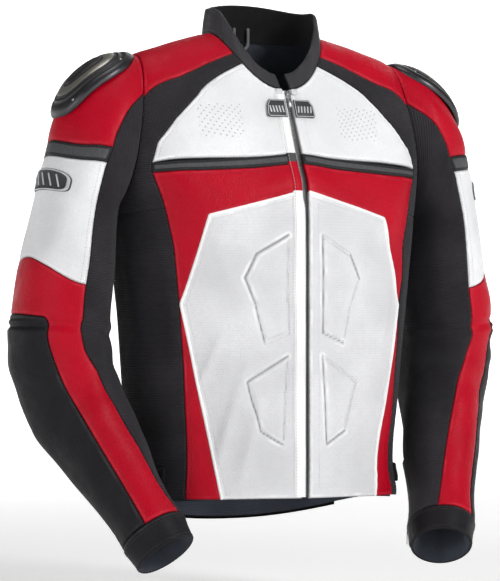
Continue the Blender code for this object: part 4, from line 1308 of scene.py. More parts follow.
LOOKS = {
    "red": leather("red_leather", RED, 0.42, (0.55, 0.02, 0.04), shine_level=0.12),
    "white": leather("white_leather", WHITE, 0.46, (0.90, 0.90, 0.90)),
    "perforated": leather("perforated_white", (0.680, 0.682, 0.698), 0.50, (0.88, 0.88, 0.88),
                          holes=(0.0040, 0.00048, 0.0115, 0.26)),
    "chest": leather("chest_white", WHITE, 0.46, (0.90, 0.90, 0.90), holes=(0.0084, 0.0011, 0.008, 0.50),
                     region=((0.074, 0.136), (-0.112, -0.066))),
    "bright": leather("bright_white_leather", (0.90, 0.90, 0.90), 0.44, (0.97, 0.97, 0.97)),
    "black": leather("black_leather", BLACK, 0.46, (0.045, 0.044, 0.044), coat=0.01, shine_level=0.11),
    "collar": leather("collar_leather", CHARCOAL, 0.46, (0.070, 0.070, 0.073), grain=520.0, coat=0.01,
                      shine_level=0.13),
    "band": banded("banded_black", (0.017, 0.017, 0.018), (0.075, 0.076, 0.080)),
    "stretch": stretch_fabric("black_stretch", CLOTH_BLACK),
    "lining": knitted("knit_lining", (0.060, 0.068, 0.090)),
    # Near-black knit inside the collar: a dark lining, darkened further as painted shade inside the collar.
    "dark_lining_painted_shade": knitted("dark_knit_lining_painted_shade", (0.007, 0.007, 0.008)),
    "cup_light": brushed_metal("cup_plate", (0.40, 0.385, 0.34), 0.38),
    "cup_dark": brushed_metal("cup_rim", (0.075, 0.075, 0.080), 0.36),
    "cup_black": moulded("cup_groove", (0.016, 0.016, 0.017), 0.5),
    "zip_metal": plain_metal("dark_nickel", (0.42, 0.42, 0.43), 0.34),
    "tape": woven("zip_tape", (0.170, 0.165, 0.160)),
    "patch": moulded("soft_patch", (0.030, 0.031, 0.034), 0.55),
    "patch_light": moulded("patch_light", (0.48, 0.49, 0.50), 0.5),
    "cord": woven("cord_grey", (0.22, 0.22, 0.225), 0.0016),
    "thread_red": woven("red_thread", (0.36, 0.004, 0.016), 0.0007),
    "thread_white": woven("white_thread", (0.70, 0.70, 0.71), 0.0007),
    "thread_black": woven("black_thread", (0.035, 0.034, 0.036), 0.0007),
    "foam": foam("armour_foam", (0.045, 0.050, 0.060)),
}


def looks(*names):
    return [LOOKS[name] for name in names]


def finish_of(look, thread="black"):
    return looks(look, "thread_" + thread)


FINE_STEP = 0.0022
STRIP_STEP = 0.0030
STEP = 0.0044
ROW = 0.0026
SECOND_ROW = 0.0085
SIDE_ROWS = [("first", ROW), ("second", ROW)]
END_ROWS = [("start", ROW), ("end", ROW)]

# ---------------------------------------------------------------- front of the body

# Embossed shapes of the abdomen, as (distance from the centre line, height).
UPPER_SHAPE = [(0.0265, -0.2450), (0.0722, -0.2707), (0.0879, -0.3031), (0.0715, -0.3380),
               (0.0601, -0.3902), (0.0270, -0.3771)]
LOWER_SHAPE = [(0.0270, -0.4085), (0.0838, -0.4429), (0.0640, -0.5098), (0.0330, -0.5280)]


def outline_distance(x, z, outline):
    """Distance of points from a closed outline, less than 0 inside it."""
    nearest = np.full(np.shape(x), 1.0)
    inside = np.zeros(np.shape(x), bool)
    for start, end in zip(outline, outline[1:] + outline[:1]):
        nearest = np.minimum(nearest, to_segment(x, z, start, end)[0])
        crosses = (start[1] > z) != (end[1] > z)
        meet = start[0] + (z - start[1]) * (end[0] - start[0]) / (end[1] - start[1] + 1e-12)
        inside ^= crosses & (x < meet)
    return np.where(inside, -nearest, nearest)


def raised(reach, height, slope, groove, groove_width):
    """Height of a raised shape inside a groove, by the distance from its outline."""
    return height * smoothstep(-reach, 0.0, slope) - groove * np.exp(-((reach / groove_width) ** 2))


def embossing(grid, base, distance):
    """The two raised shapes of each abdomen panel."""
    height = np.zeros(distance.shape)
    for outline in (UPPER_SHAPE, LOWER_SHAPE):
        reach = outline_distance(base[..., 0], base[..., 2], outline)
        height += raised(reach, 0.0020, 0.0070, 0.0014, 0.0016)
    return height


# The corners between which the line of each shape is darkened like a seam, by wearer's side.
DARK_LINES = {
    -1: [UPPER_SHAPE[:5], LOWER_SHAPE],
    1: [[UPPER_SHAPE[4], UPPER_SHAPE[5], UPPER_SHAPE[0]], UPPER_SHAPE[1:3],
        [LOWER_SHAPE[2], LOWER_SHAPE[3], LOWER_SHAPE[0]]],
}
DARK_LINE_WIDTH = 0.85


def embossing_seams(side):
    """Seam distances of the abdomen, so that the lines of its embossing get the seams' dark line too, part
    dirt and part painted shade.
    """

    def found(points, distance):
        nearest = distance.copy()
        for line in DARK_LINES[side]:
            for start, end in zip(line, line[1:]):
                reach = to_segment(points[..., 0], points[..., 2], start, end)[0]
                nearest = np.minimum(nearest, reach * DARK_LINE_WIDTH)
        return nearest

    return found


def embossed_stitches(mesh, points, normal):
    """Two rows of stitches beside each embossed line."""
    flat, out = points.reshape(-1, 3), normal.reshape(-1, 3)
    tree = tree_of(flat * [1, 0, 1])
    for outline in (UPPER_SHAPE, LOWER_SHAPE):
        middle = np.mean(outline, axis=0)
        for scale in (0.955, 1.045):
            corners = [tuple(middle + (np.array(corner) - middle) * scale) for corner in outline]
            line = straight(corners + corners[:1])[::3]
            near = [tree.find((x, 0.0, z))[1] for x, z in line]
            place = np.stack([line[:, 0], flat[near][:, 1], line[:, 1]], -1)
            add_stitches(mesh, place, out[near], 1)


STRIPE_TOP_SEAM = front(STRIPE_TOP)
STRIPE_BOTTOM_SEAM = front(STRIPE_BOTTOM)
SIDE_TOP, SIDE_LOWER = side_seam()
CHEST_SEAM = front(CHEST_EDGE, [2, 2, 2], 30)
CHEST_TO_NECK = straight([CHEST_SEAM[-1], (CHEST_APEX_ANGLE, NECK_LEVEL)])
CHEST_SEAM_TO_NECK = joined((CHEST_SEAM, 6), (CHEST_TO_NECK, 1))
ABDOMEN_SEAM = front([ABDOMEN_APEX, ABDOMEN_CORNER, ABDOMEN_WIDEST, ABDOMEN_HEM], [6, 5, 5], 10)
FRONT_BOTTOM = (ZIP_CHANNEL, HEM_HEIGHT)
CHEST_CENTRE_TOP = (ZIP_CHANNEL, -0.0455)
CHEST_NECK = (body_at(ZIP_CHANNEL, -0.0435)[0], NECK_LEVEL)
CENTRE_ROW = 0.0150


def body_piece(name, grid, side, look, thread, slot, stitches, style="leather", **extra):
    """Panel of the body, in the place of the node with its name."""
    obj, _ = panel(name, BODY, grid, side, finish_of(look, thread), style, stitches, **extra)
    put(obj, "torso", slot, name)


def chest_panel(side):
    centre = front([STRIPE_TOP[0], CHEST_CENTRE_TOP], [7])
    centre = np.concatenate([centre, straight([centre[-1], CHEST_NECK])[1::9]])
    centre[:, 0] = np.maximum(centre[:, 0], 1.0)
    grid = ruled(BODY, centre, CHEST_SEAM_TO_NECK, STEP)
    stitches = [("second", ROW), ("second", SECOND_ROW), ("start", ROW), ("first", CENTRE_ROW)]
    body_piece("chest_panel_" + suffix(side), grid, side, "chest", "white", "white_leather", stitches)


def chest_stripe(side):
    grid = ruled(BODY, STRIPE_TOP_SEAM, STRIPE_BOTTOM_SEAM, STRIP_STEP)
    stitches = [("first", 0.0018), ("second", 0.0018)]
    body_piece("chest_stripe_" + suffix(side), grid, side, "band", "black", "black_leather", stitches, "strip")


def red_front_panel(side):
    outer = joined((STRIPE_BOTTOM_SEAM, 6), (SIDE_TOP, 2), (SIDE_LOWER, 8))
    grid = ruled(BODY, ABDOMEN_SEAM, outer, STEP)
    stitches = [("first", 0.0062), ("second", ROW), ("second", SECOND_ROW)]
    body_piece("red_front_panel_" + suffix(side), grid, side, "red", "red", "red_leather", stitches)


def abdomen_panel(side):
    centre = front([FRONT_BOTTOM, (ZIP_CHANNEL, -0.345), ABDOMEN_APEX], [5, 5])
    corner = 6 * SEAM_POINTS
    upper = ABDOMEN_SEAM[: corner + 1]
    grid = ruled(BODY, centre, ABDOMEN_SEAM[corner:][::-1], FINE_STEP)
    # The top row follows the seam from the bust to the corner.
    rows = smoothstep(np.linspace(0, 1, len(grid)), 0.30, 1.0)[:, None]
    columns = spread(line_length(BODY, upper), FINE_STEP)
    columns = np.interp(np.linspace(0, 1, grid.shape[1]), np.linspace(0, 1, len(columns)), columns)
    grid = grid + rows[..., None] * (along(upper, columns) - grid[-1])[None]
    stitches = [("second", 0.0075), ("end", 0.0075), ("first", CENTRE_ROW)]
    body_piece("abdomen_panel_" + suffix(side), grid, side, "perforated", "white", "white_leather", stitches,
               relief=embossing, seam_value=embossing_seams(side), extra=embossed_stitches)


PIPING_RADIUS = 0.0023


def abdomen_piping(side):
    """White piping sewn into the seam round the abdomen panel."""
    line = ABDOMEN_SEAM[6:-2:4]
    base = torso(line[:, 0], line[:, 1])
    out = torso_normal(line[:, 0], line[:, 1])
    lift = torso_fold(line[:, 0], line[:, 1], side)[:, None] - 0.0002
    mesh = Mesh()
    add_tube(mesh, base + out * lift, PIPING_RADIUS)
    obj = mesh.make("abdomen_piping_" + suffix(side), looks("bright"), side)
    put(obj, "torso", "white_leather")


def side_panel(side):
    back = SIDE_LOWER.copy()
    back[:, 0] = SIDE_BACK_ANGLE
    grid = ruled(BODY, SIDE_LOWER, back, STEP)
    body_piece("side_stretch_panel_" + suffix(side), grid, side, "stretch", "black", "black_stretch",
               [("first", ROW)], "stretch")


def raglan_strip(side):
    inner = joined((CHEST_SEAM_TO_NECK[::-1], 7), (straight([CHEST_SEAM[0], STRIPE_BOTTOM_SEAM[-1]]), 1),
                   (SIDE_TOP, 1))
    outer = joined((neck_to_armhole(False), 4), (armhole_edge(False, SHOULDER_END_LEVEL, ARMPIT_LEVEL), 5))
    grid = ruled(BODY, inner, outer, STEP)
    body_piece("raglan_stretch_strip_" + suffix(side), grid, side, "stretch", "black", "black_stretch",
               SIDE_ROWS, "stretch")


def shoulder_panel(side):
    first, second = neck_to_armhole(False), neck_to_armhole(True)
    grid = ruled(BODY, first, second, STEP)
    share = (NECK_LEVEL - grid[:, :1, 1]) / (NECK_LEVEL - SHOULDER_END_LEVEL)
    across = (grid[-1, :, 0] - grid[-1, 0, 0]) / (grid[-1, -1, 0] - grid[-1, 0, 0])
    ends = armhole_level(grid[-1, :, 0])
    ends[0] = ends[-1] = SHOULDER_END_LEVEL
    blend = np.minimum(across, 1 - across)[None, :]
    target = NECK_LEVEL + (ends[None, :] - NECK_LEVEL) * share
    grid[..., 1] = np.where(blend > 0, target, grid[..., 1])
    stitches = [("first", ROW), ("first", SECOND_ROW), ("second", ROW), ("second", SECOND_ROW)]
    body_piece("shoulder_panel_" + suffix(side), grid, side, "red", "red", "red_leather", stitches)


# ---------------------------------------------------------------- back of the body


def mirrored_edge(line):
    return np.stack([360 - line[:, 0], line[:, 1]], -1)


def back_level(height):
    return float(body_at(0.0, height, back=True)[1])


def accordion(grid, base, distance):
    """Pleats of the stretch band across the shoulder blades."""
    pleats = np.sin(base[..., 2] * 2 * np.pi / 0.0075)
    return 0.0016 * pleats * smoothstep(distance, 0.0015, 0.0050)


def back_piece(name, edge, look, thread, slot, stitches, style="leather", step=STEP, **extra):
    grid = ruled(BODY, edge, mirrored_edge(edge), step)
    body_piece(name, grid, 1, look, thread, slot, stitches, style, **extra)


BACK_SHAPE = [(0.018, -0.275), (0.100, -0.262), (0.092, -0.395), (0.018, -0.420)]


def back_shape_distance(points):
    return outline_distance(np.abs(points[..., 0]), points[..., 2], BACK_SHAPE)


def back_embossing(grid, base, distance):
    """The raised shape on each half of the back."""
    return raised(back_shape_distance(base), 0.0018, 0.008, 0.0012, 0.0018)


# The outline of the raised shape gets the seams' dark line too, part dirt and part painted shade.
def back_embossing_seams(points, distance):
    return np.minimum(distance, np.abs(back_shape_distance(points)))


YOKE_HEIGHT = -0.100
STRETCH_BAND_HEIGHT = -0.136
BACK_HEM_HEIGHT = -0.515


def back_of_body():
    around = [*END_ROWS, ("end", SECOND_ROW)]
    yoke_level, stretch_level = back_level(YOKE_HEIGHT), back_level(STRETCH_BAND_HEIGHT)
    hem_top = back_level(BACK_HEM_HEIGHT)
    edge = joined((neck_to_armhole(True), 4), (armhole_edge(True, SHOULDER_END_LEVEL, yoke_level), 3))
    back_piece("back_yoke", edge, "red", "red", "red_leather", around)
    edge = armhole_edge(True, yoke_level, stretch_level)
    back_piece("back_stretch_band", edge, "stretch", "black", "black_stretch", (), "stretch", 0.0024,
               relief=accordion)
    edge = armhole_edge(True, stretch_level, ARMPIT_LEVEL)
    back_piece("back_upper_panel", edge, "white", "white", "white_leather", around)
    edge = straight([(SIDE_BACK_ANGLE, ARMPIT_LEVEL), (SIDE_BACK_ANGLE, hem_top)])
    stitches = around + [("first", ROW), ("first", SECOND_ROW), ("second", ROW), ("second", SECOND_ROW)]
    back_piece("back_panel", edge, "perforated", "white", "white_leather", stitches, step=0.0030,
               relief=back_embossing, seam_value=back_embossing_seams)
    edge = straight([(SIDE_BACK_ANGLE, hem_top), (SIDE_BACK_ANGLE, 0.0)])
    stitches = [("start", ROW), ("end", 0.0040), ("end", 0.0150)]
    back_piece("back_hem_panel", edge, "black", "black", "black_leather", stitches, skirt=0.006)


# ---------------------------------------------------------------- collar and neck


def collar_point(angle, rise):
    """Outer face of the stand collar. Rise 0 is the neck seam, 1 the rim."""
    base = torso(angle, np.full(np.shape(angle), NECK_LEVEL))
    sine, cosine = np.sin(np.radians(angle)), np.cos(np.radians(angle))
    end = np.where(cosine > 0, COLLAR_FRONT_HEIGHT, COLLAR_BACK_HEIGHT)
    height = COLLAR_SIDE_HEIGHT * sine**2 + end * cosine**2
    lean = 1 - COLLAR_LEAN * rise
    front_lean = 0.013 * rise * np.maximum(cosine, 0) ** 2
    x, y = base[..., 0] * lean, base[..., 1] * lean + front_lean
    return np.stack([x, y, base[..., 2] + 0.0008 + height * rise], -1)


COLLAR_ROWS = 300
COLLAR_START = 4.2
COLLAR_FOOT = 0.009


def collar():
    """Stand collar with a rolled rim, and its lining, which is painted darker as shade inside the collar."""
    angles = np.linspace(COLLAR_START, 360 - COLLAR_START, COLLAR_ROWS)
    rises = np.array([-0.02, 0.04, 0.12, 0.25, 0.4, 0.55, 0.7, 0.82, 0.9, 0.96])
    rim = np.linspace(0, math.pi, 7)[1:-1]
    around = collar_point(angles[:, None], rises[None, :])
    ahead = collar_point(angles[:, None] + 0.5, rises[None, :])
    behind = collar_point(angles[:, None] - 0.5, rises[None, :])
    up = unit(collar_point(angles, 1.0) - collar_point(angles, 0.5))
    out = unit(np.cross(ahead[:, 5] - behind[:, 5], up))
    half = COLLAR_THICKNESS / 2
    swell = 0.0012 * np.sin(np.pi * np.clip(rises, 0, 1)) ** 0.7
    wave = 0.0006 * np.sin(angles[:, None] * 0.35) * np.clip(rises, 0, 1)[None, :]
    outer = around + out[:, None] * (swell[None, :] + wave)[..., None]
    top = outer[:, -1]
    turn = [top + out * half * (math.cos(t) - 1) + up * half * math.sin(t) for t in rim]
    inner = around[:, ::-1] - out[:, None] * COLLAR_THICKNESS
    foot = inner[:, -1] - out * 0.0012 - up * COLLAR_FOOT
    inner = np.concatenate([inner, foot[:, None]], 1)
    profile = np.concatenate([outer, np.stack(turn, 1), inner], 1)
    seam = np.minimum(np.clip(rises, 0, 1), 1.02 - rises) * 0.03
    seam = np.concatenate([seam, np.full(len(rim), 0.02), seam[::-1], [0.02]])
    rows, columns = profile.shape[:2]
    quads = grid_quads(rows, columns)
    quads = facing(quads, profile, 4, out[0])
    lined = (np.arange(len(quads)) % (columns - 1)) >= len(rises) + len(rim) - 1
    uv = table(lengths(profile[100]), lengths(profile[:, 5]))[..., ::-1]
    mesh = Mesh()
    mesh.add(profile, quads, np.where(lined, 1, 0), uv, np.tile(seam, rows))
    for end in (list(range(columns)), [(rows - 1) * columns + k for k in range(columns)][::-1]):
        for k in range(columns // 2):
            quad = [end[k], end[k + 1], end[columns - 2 - k], end[columns - 1 - k]]
            if len(set(quad)) == 4:
                mesh.add_faces([quad])
    for rise in (0.08, 0.86, 0.93):
        line = collar_point(angles, rise) + out * 0.0011
        add_stitches(mesh, line, out, 2)
    obj = mesh.make("collar", looks("collar", "dark_lining_painted_shade", "thread_black"))
    put(obj, "torso", "black_leather", "collar")


def zip_end_tabs():
    """Small light leather tabs that end the zip tapes at the foot of the collar."""
    run, outward = zip_axes()
    for side in (1, -1):
        middle = front_point(-0.0475) + np.array([0.0115, 0, 0]) + outward * 0.0028
        mesh = Mesh()
        outline = rounded_box(0.0095, 0.0085, 0.0022)
        add_plate(mesh, middle, (np.array([1.0, 0, 0]), -run, outward), outline, 0.0016, 0.0004)
        obj = mesh.make("zip_end_tab_" + suffix(side), looks("patch_light"), side)
        put(obj, "torso", "soft_patch")


CORD_RADIUS = 0.0022


def hang_loop():
    """Loop of cord inside the back of the collar."""
    low, high = (np.array(corner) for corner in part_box("hang_loop"))
    radius = CORD_RADIUS
    half = (high[0] - low[0]) / 2 - radius
    y = (low[1] + high[1]) / 2
    top, bottom = high[2], low[2] + radius + half
    turns = np.linspace(math.pi, 2 * math.pi, 15)
    line = [(-half, y, z) for z in np.linspace(top, bottom, 8)[:-1]]
    line += [(half * math.cos(t), y, bottom + half * math.sin(t)) for t in turns]
    line += [(half, y, z) for z in np.linspace(bottom, top, 8)[1:]]
    mesh = Mesh()
    add_tube(mesh, np.array(line), radius, sides=10)
    obj = mesh.make("hang_loop_cord", looks("cord"))
    put(obj, "hang_loop", "soft_patch", "hang_loop")


# ---------------------------------------------------------------- front zip


def front_point(height):
    return torso(*(np.float64(value) for value in body_at(0.0, height)))


def front_normal(height):
    step = 0.003
    run = unit(front_point(height + step) - front_point(height - step))
    return np.array([0.0, -run[2], run[1]])


def front_line(heights):
    """Points of the front's centre line at these heights, and the directions out of it."""
    places = np.array([front_point(height) for height in heights])
    return places, np.array([front_normal(height) for height in heights])


def zip_axes():
    """Direction down the upper run of the zip, and the direction out of it."""
    run = unit(np.array(JOINTS["front_zip_slide"]["axis"]))
    run = run if run[2] < 0 else -run
    return run, np.array([0.0, run[2], -run[1]])


ZIP_TOP = -0.0465
ZIP_BOTTOM = -0.5985
TOOTH_PITCH = 0.0032
# Width, height and depth of a tooth, how far its middle lies from the centre line, and how deep.
TOOTH = (0.0030, 0.0014, 0.0020)
TOOTH_SIDE = 0.0014
TOOTH_SINK = 0.0018
BOX_FACES = np.array([(0, 1, 2, 3), (7, 6, 5, 4), (0, 4, 5, 1), (1, 5, 6, 2), (2, 6, 7, 3), (3, 7, 4, 0)])


def zip_heights(step):
    count = round((ZIP_TOP - ZIP_BOTTOM) / step)
    return np.linspace(ZIP_BOTTOM, ZIP_TOP, count)


def add_tooth(mesh, centre, outward):
    """One tooth of the left tape, narrower in front."""
    width, height, thickness = TOOTH
    upward = np.cross(np.array([1.0, 0, 0]), outward)
    corners = []
    for depth, shrink in ((0.5, 0.75), (-0.5, 1.0)):
        for x, y in ((-1, -1), (1, -1), (1, 1), (-1, 1)):
            point = centre + np.array([TOOTH_SIDE + width / 2 * (x * shrink - 0.35), 0, 0])
            point = point + upward * y * height / 2 * shrink
            corners.append(point + outward * (thickness * depth - TOOTH_SINK))
    points = np.array(corners)
    mesh.add(points, facing(BOX_FACES, points, 0, outward), 1)


def zip_tape(side):
    """Woven tape with its row of moulded teeth."""
    heights = zip_heights(0.006)
    places, out = front_line(heights)
    profile = [(0.0010, 0.0040), (0.0010, 0.0032), (0.0035, 0.0030), (0.0138, 0.0034), (0.0138, 0.0044)]
    grid = np.stack([places + np.array([x, 0, 0]) - out * depth for x, depth in profile], 1)
    mesh = Mesh()
    uv = table(np.array([0, 0.001, 0.003, 0.013, 0.014]), heights)
    mesh.add(grid, grid_quads(*grid.shape[:2])[:, ::-1], 0, uv)
    count = round((ZIP_TOP - ZIP_BOTTOM) / TOOTH_PITCH)
    for i in range(count):
        height = ZIP_BOTTOM + (i + (0.25 if side > 0 else 0.75)) * (ZIP_TOP - ZIP_BOTTOM) / count
        add_tooth(mesh, front_point(height), front_normal(height))
    obj = mesh.make("zip_tape_" + suffix(side), looks("tape", "zip_metal"), side)
    put(obj, "torso", "zip_tape", "zip_tape_" + suffix(side))


PLACKET_WIDENS = -0.190


def placket():
    """Folded leather flap along the wearer's right of the zip.

    colours holds the height from which each of its looks runs upward, and the number of the look.
    """
    colours = [(ZIP_BOTTOM - 1, 0), (BUST_HEIGHT, 1), (STRIPE_BOTTOM[0][1] - 0.0005, 2),
               (STRIPE_TOP[0][1] - 0.0005, 0)]
    heights = zip_heights(0.0030)
    profile = [(0.0030, 0.0010), (0.0024, -0.0006), (0.0032, -0.0019), (0.0050, -0.0026), (0.0110, -0.0029),
               (0.0160, -0.0026), (0.0178, -0.0016), (0.0180, 0.0008)]
    over_zip = 0.0030 * smoothstep(-heights, -PLACKET_WIDENS, -PLACKET_WIDENS + 0.02)
    places, out = front_line(heights)
    fold = torso_fold(np.full(len(heights), 3.0), body_at(0.0, heights)[1], -1)
    grid = np.stack([places + np.array([x, 0, 0]) + out * (fold[:, None] * (x > 0.004) - depth)
                     for x, depth in profile], 1)
    grid[:, :4, 0] -= over_zip[:, None]
    mesh = Mesh()
    # Seam distances across the flap; the small ones at its edges give them the seams' dark line, part dirt and
    # part painted shade of the flap's edge.
    reach = np.array([0.0004, 0.0015, 0.004, 0.0055, 0.008, 0.0055, 0.003, 0.0005])
    width = len(profile) - 1
    quads = facing(grid_quads(*grid.shape[:2]), grid, 3 + width * 40, out[40])
    slots = [[slot for start, slot in colours if height >= start][-1] for height in heights[:-1]]
    uv = table(np.array([x for x, _ in profile]), heights)
    mesh.add(grid, quads, np.repeat(slots, width), uv, np.tile(reach, len(heights)))
    for column in (3, 5):
        add_stitches(mesh, grid[:, column] + out * 0.0002, out, 3)
    obj = mesh.make("front_placket_flap", looks("bright", "red", "band", "thread_white"), -1)
    put(obj, "torso", "white_leather", "front_placket")


def box_centre(node):
    low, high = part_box(node)
    return np.array((low + high) / 2)


SLIDER_OUTLINE = [(-0.0026, 0.0062), (-0.0044, 0.0040), (-0.0042, -0.0010), (-0.0030, -0.0056),
                  (-0.0012, -0.0064), (0.0012, -0.0064), (0.0030, -0.0056), (0.0042, -0.0010),
                  (0.0044, 0.0040), (0.0026, 0.0062), (0.0010, 0.0052), (-0.0010, 0.0052)]


def zip_slider(name, centre, axes, scale, body, pull_name, pull_centre, pull_body, pull_length):
    """Slider with its bridge, and a pull with a slot, each on its own body."""
    across, upward, outward = axes
    mesh = Mesh()
    outline = np.array(SLIDER_OUTLINE) * scale
    add_plate(mesh, centre - outward * 0.0008 * scale, axes, outline, 0.0030 * scale, 0.0007 * scale)
    turns = np.linspace(0, math.pi, 9)
    bridge = [centre + upward * 0.0040 * scale * math.cos(t) + outward * 0.0022 * scale * math.sin(t)
              + outward * 0.0004 * scale for t in turns]
    add_tube(mesh, np.array(bridge), 0.0009 * scale, sides=8)
    put(mesh.make(name + "_metal", looks("zip_metal")), body, "zip_metal", name)
    mesh = Mesh()
    half = pull_length / 2
    rise = upward * np.linspace(-half, half, 6)[:, None]
    wires = [pull_centre + across * x * 0.0021 * scale + rise for x in (-1, 1)]
    add_tube(mesh, np.concatenate([wires[0], wires[1][::-1]]), 0.0007 * scale, sides=6, closed=True)
    sign = -1 if upward @ (pull_centre - centre) < 0 else 1
    paddle = rounded_box(0.0056 * scale, pull_length * 0.62, 0.0018 * scale)
    add_plate(mesh, pull_centre + upward * sign * half * 0.30, axes, paddle, 0.0013 * scale, 0.0003)
    put(mesh.make(pull_name + "_metal", looks("zip_metal")), pull_body, "zip_metal", pull_name)


def zip_parts():
    run, outward = zip_axes()
    axes = (np.array([1.0, 0, 0]), -run, outward)
    zip_slider("zip_slider", box_centre("zip_slider"), axes, 1.0, "zip_slider", "zip_pull",
               box_centre("zip_pull"), "zip_pull", 0.0205)
    for side in (1, -1):
        name = suffix(side)
        centre, tab = box_centre("cuff_zip_slider_" + name), box_centre("cuff_zip_pull_" + name)
        along_cuff = unit(FOREARM_DIRECTION * [side, 1, 1])
        swing = np.array(JOINTS[name + "_cuff_pull_swing"]["axis"])
        outward = unit(np.cross(along_cuff, swing))
        ring = box_centre("cuff_" + name)
        outward = outward if outward @ (centre - ring) > 0 else -outward
        axes = (unit(np.cross(along_cuff, outward)), along_cuff, outward)
        zip_slider("cuff_zip_slider_" + name, centre, axes, 0.86, name + "_cuff_slider",
                   "cuff_zip_pull_" + name, tab, name + "_cuff_pull", 0.0185)


CHEST_PATCH_HALF = (0.0150, 0.0130)
# The stretch of the chest whose folds it clears: distances from the centre line, half height.
CHEST_PATCH_REACH = (0.005, 0.040)
CHEST_PATCH_CLEAR = 0.012


def chest_patch(side):
    """Half of a moulded patch: dark, with a raised light rim and plain ribs."""
    run, outward = zip_axes()
    name = "chest_patch_" + suffix(side)
    centre = box_centre(name) * [side, 1, 1]
    # It lies on the highest fold under it.
    w, h = CHEST_PATCH_HALF
    heights = centre[2] + np.linspace(-CHEST_PATCH_CLEAR, CHEST_PATCH_CLEAR, 9)
    angle, level = body_at(np.linspace(*CHEST_PATCH_REACH, 9)[None, :], heights[:, None])
    centre = centre + outward * max(0.0, float(torso_fold(angle, level, side).max()) - 0.0004)
    axes = (np.array([1.0, 0, 0]), -run, outward)
    mesh = Mesh()
    outline = [(-w, -h), (w - 0.002, -h), (w, -h + 0.003), (w - 0.0015, h - 0.008), (w - 0.006, h), (-w, h)]
    dense = straight([*outline, outline[0]])[:-1:30]
    add_plate(mesh, centre, axes, dense, 0.0018, 0.0004)
    rim = straight([*(np.array(outline) * 0.90), np.array(outline[0]) * 0.90])[:-1:15]
    line = [centre + axes[0] * x + axes[1] * y + outward * 0.0009 for x, y in rim]
    add_tube(mesh, np.array(line), 0.0005, 1, 6, closed=True)
    for k in range(5):
        x = -0.0100 + 0.0047 * k
        bar = np.array([(-0.0011, -0.0048), (0.0009, -0.0048), (0.0021, 0.0048), (0.0001, 0.0048)])
        spot = centre + axes[0] * x - axes[1] * 0.0015 + outward * 0.0010
        add_plate(mesh, spot, axes, bar, 0.0010, 0.0003, 1)
    obj = mesh.make(name + "_moulded", looks("patch", "patch_light"), side)
    put(obj, "torso", "soft_patch", name)


# ---------------------------------------------------------------- lining and straps


LINING_DEPTHS = [(0.0, 0.0045), (0.25, 0.0095), (3.6, 0.0100), (6.0, 0.0095), (8.4, 0.0085),
                 (NECK_LEVEL, 0.0050)]


def body_lining():
    """Lining of the body from the collar to the hem, open at the armholes and along the zip."""
    levels = np.linspace(0.03, NECK_LEVEL, 90)
    angles = np.linspace(6.0, 354.0, 150)
    depth = np.interp(levels, *np.array(LINING_DEPTHS).T)
    grid = table(angles, levels)
    base, out = torso(grid[..., 0], grid[..., 1]), torso_normal(grid[..., 0], grid[..., 1])
    sag = 0.0012 * np.sin(grid[..., 0] * 0.35) * np.sin(grid[..., 1] * 2.1)
    points = base - out * (depth[:, None] + np.abs(sag))[..., None]
    quads = grid_quads(*points.shape[:2])
    flat = points.reshape(-1, 3)
    reach = np.abs(flat[:, 0]) * ARMHOLE_NORMAL[0] + flat[:, 2] * ARMHOLE_NORMAL[2]
    beyond = reach > ARMHOLE_DISTANCE - 0.003
    high = grid[..., 1].ravel() > ARMPIT_LEVEL - 0.3
    quads = quads[~(beyond & high)[quads].all(1)]
    used = np.unique(quads)
    number = np.full(len(flat), -1)
    number[used] = np.arange(len(used))
    mesh = Mesh()
    mesh.add(flat[used], number[quads][:, ::-1], 0, BODY.uv(grid).reshape(-1, 2)[used])
    obj = mesh.make("body_lining_cloth", looks("lining"))
    put(obj, "torso", "lining", "body_lining")


STRAP_ANGLES = (64.0, 92.0)
STRAP_LEVELS = (0.20, 0.40)


def waist_strap(side):
    """Adjuster strap on the side of the hem."""
    low, high = (straight([(angle, level) for angle in STRAP_ANGLES]) for level in STRAP_LEVELS)
    grid = ruled(BODY, low, high, 0.0032)
    name = "waist_strap_" + suffix(side)
    stitches = [*SIDE_ROWS, ("end", ROW), ("start", ROW)]
    obj, _ = panel(name + "_leather", BODY, grid, side, finish_of("black"), "strip", stitches, lift=0.0040,
                   skirt=0.0030)
    put(obj, suffix(side) + "_waist_strap", "black_leather", name)


# ---------------------------------------------------------------- sleeves


def front_seam_phi(place):
    return 62.0 + 28.0 * np.minimum(np.asarray(place, float) / 2.4, 1.0)


def slanted(outer, at_front):
    """Place of a seam that crosses the outer side of the sleeve at outer, the front at at_front."""
    return lambda phi: outer + (at_front - outer) * np.sin(np.radians(np.minimum(np.abs(phi), 90.0))) ** 2


def dropped(outer, at_front):
    """As slanted, but almost level until it nears the front and the back."""
    return lambda phi: outer + (at_front - outer) * (np.minimum(np.abs(phi), 90.0) / 90.0) ** 3


BAND_TOP = dropped(3.72, 2.22)
BAND_BOTTOM = dropped(4.10, 3.03)
WHITE_BOTTOM = slanted(6.18, 6.50)
SLEEVE_TOP = slanted(0.0, 0.0)


def across_sleeve(seam):
    """A seam across the outer side of the sleeve as a dense line, from back to front."""
    share = np.linspace(-1, 1, 181)
    place = seam(share * 90.0)
    for _ in range(12):
        phi = share * front_seam_phi(place)
        place = seam(phi)
    return np.stack([share * front_seam_phi(place), place], -1)


def outer_grid(top, bottom, step):
    """Grid over the outer side of the sleeve between two seams; rows run round the arm."""
    first, second = across_sleeve(top), across_sleeve(bottom)
    grid = ruled(ARM, first, second, step)
    for column, sign in ((0, -1), (-1, 1)):
        grid[column, :, 0] = sign * front_seam_phi(grid[column, :, 1])
    return grid


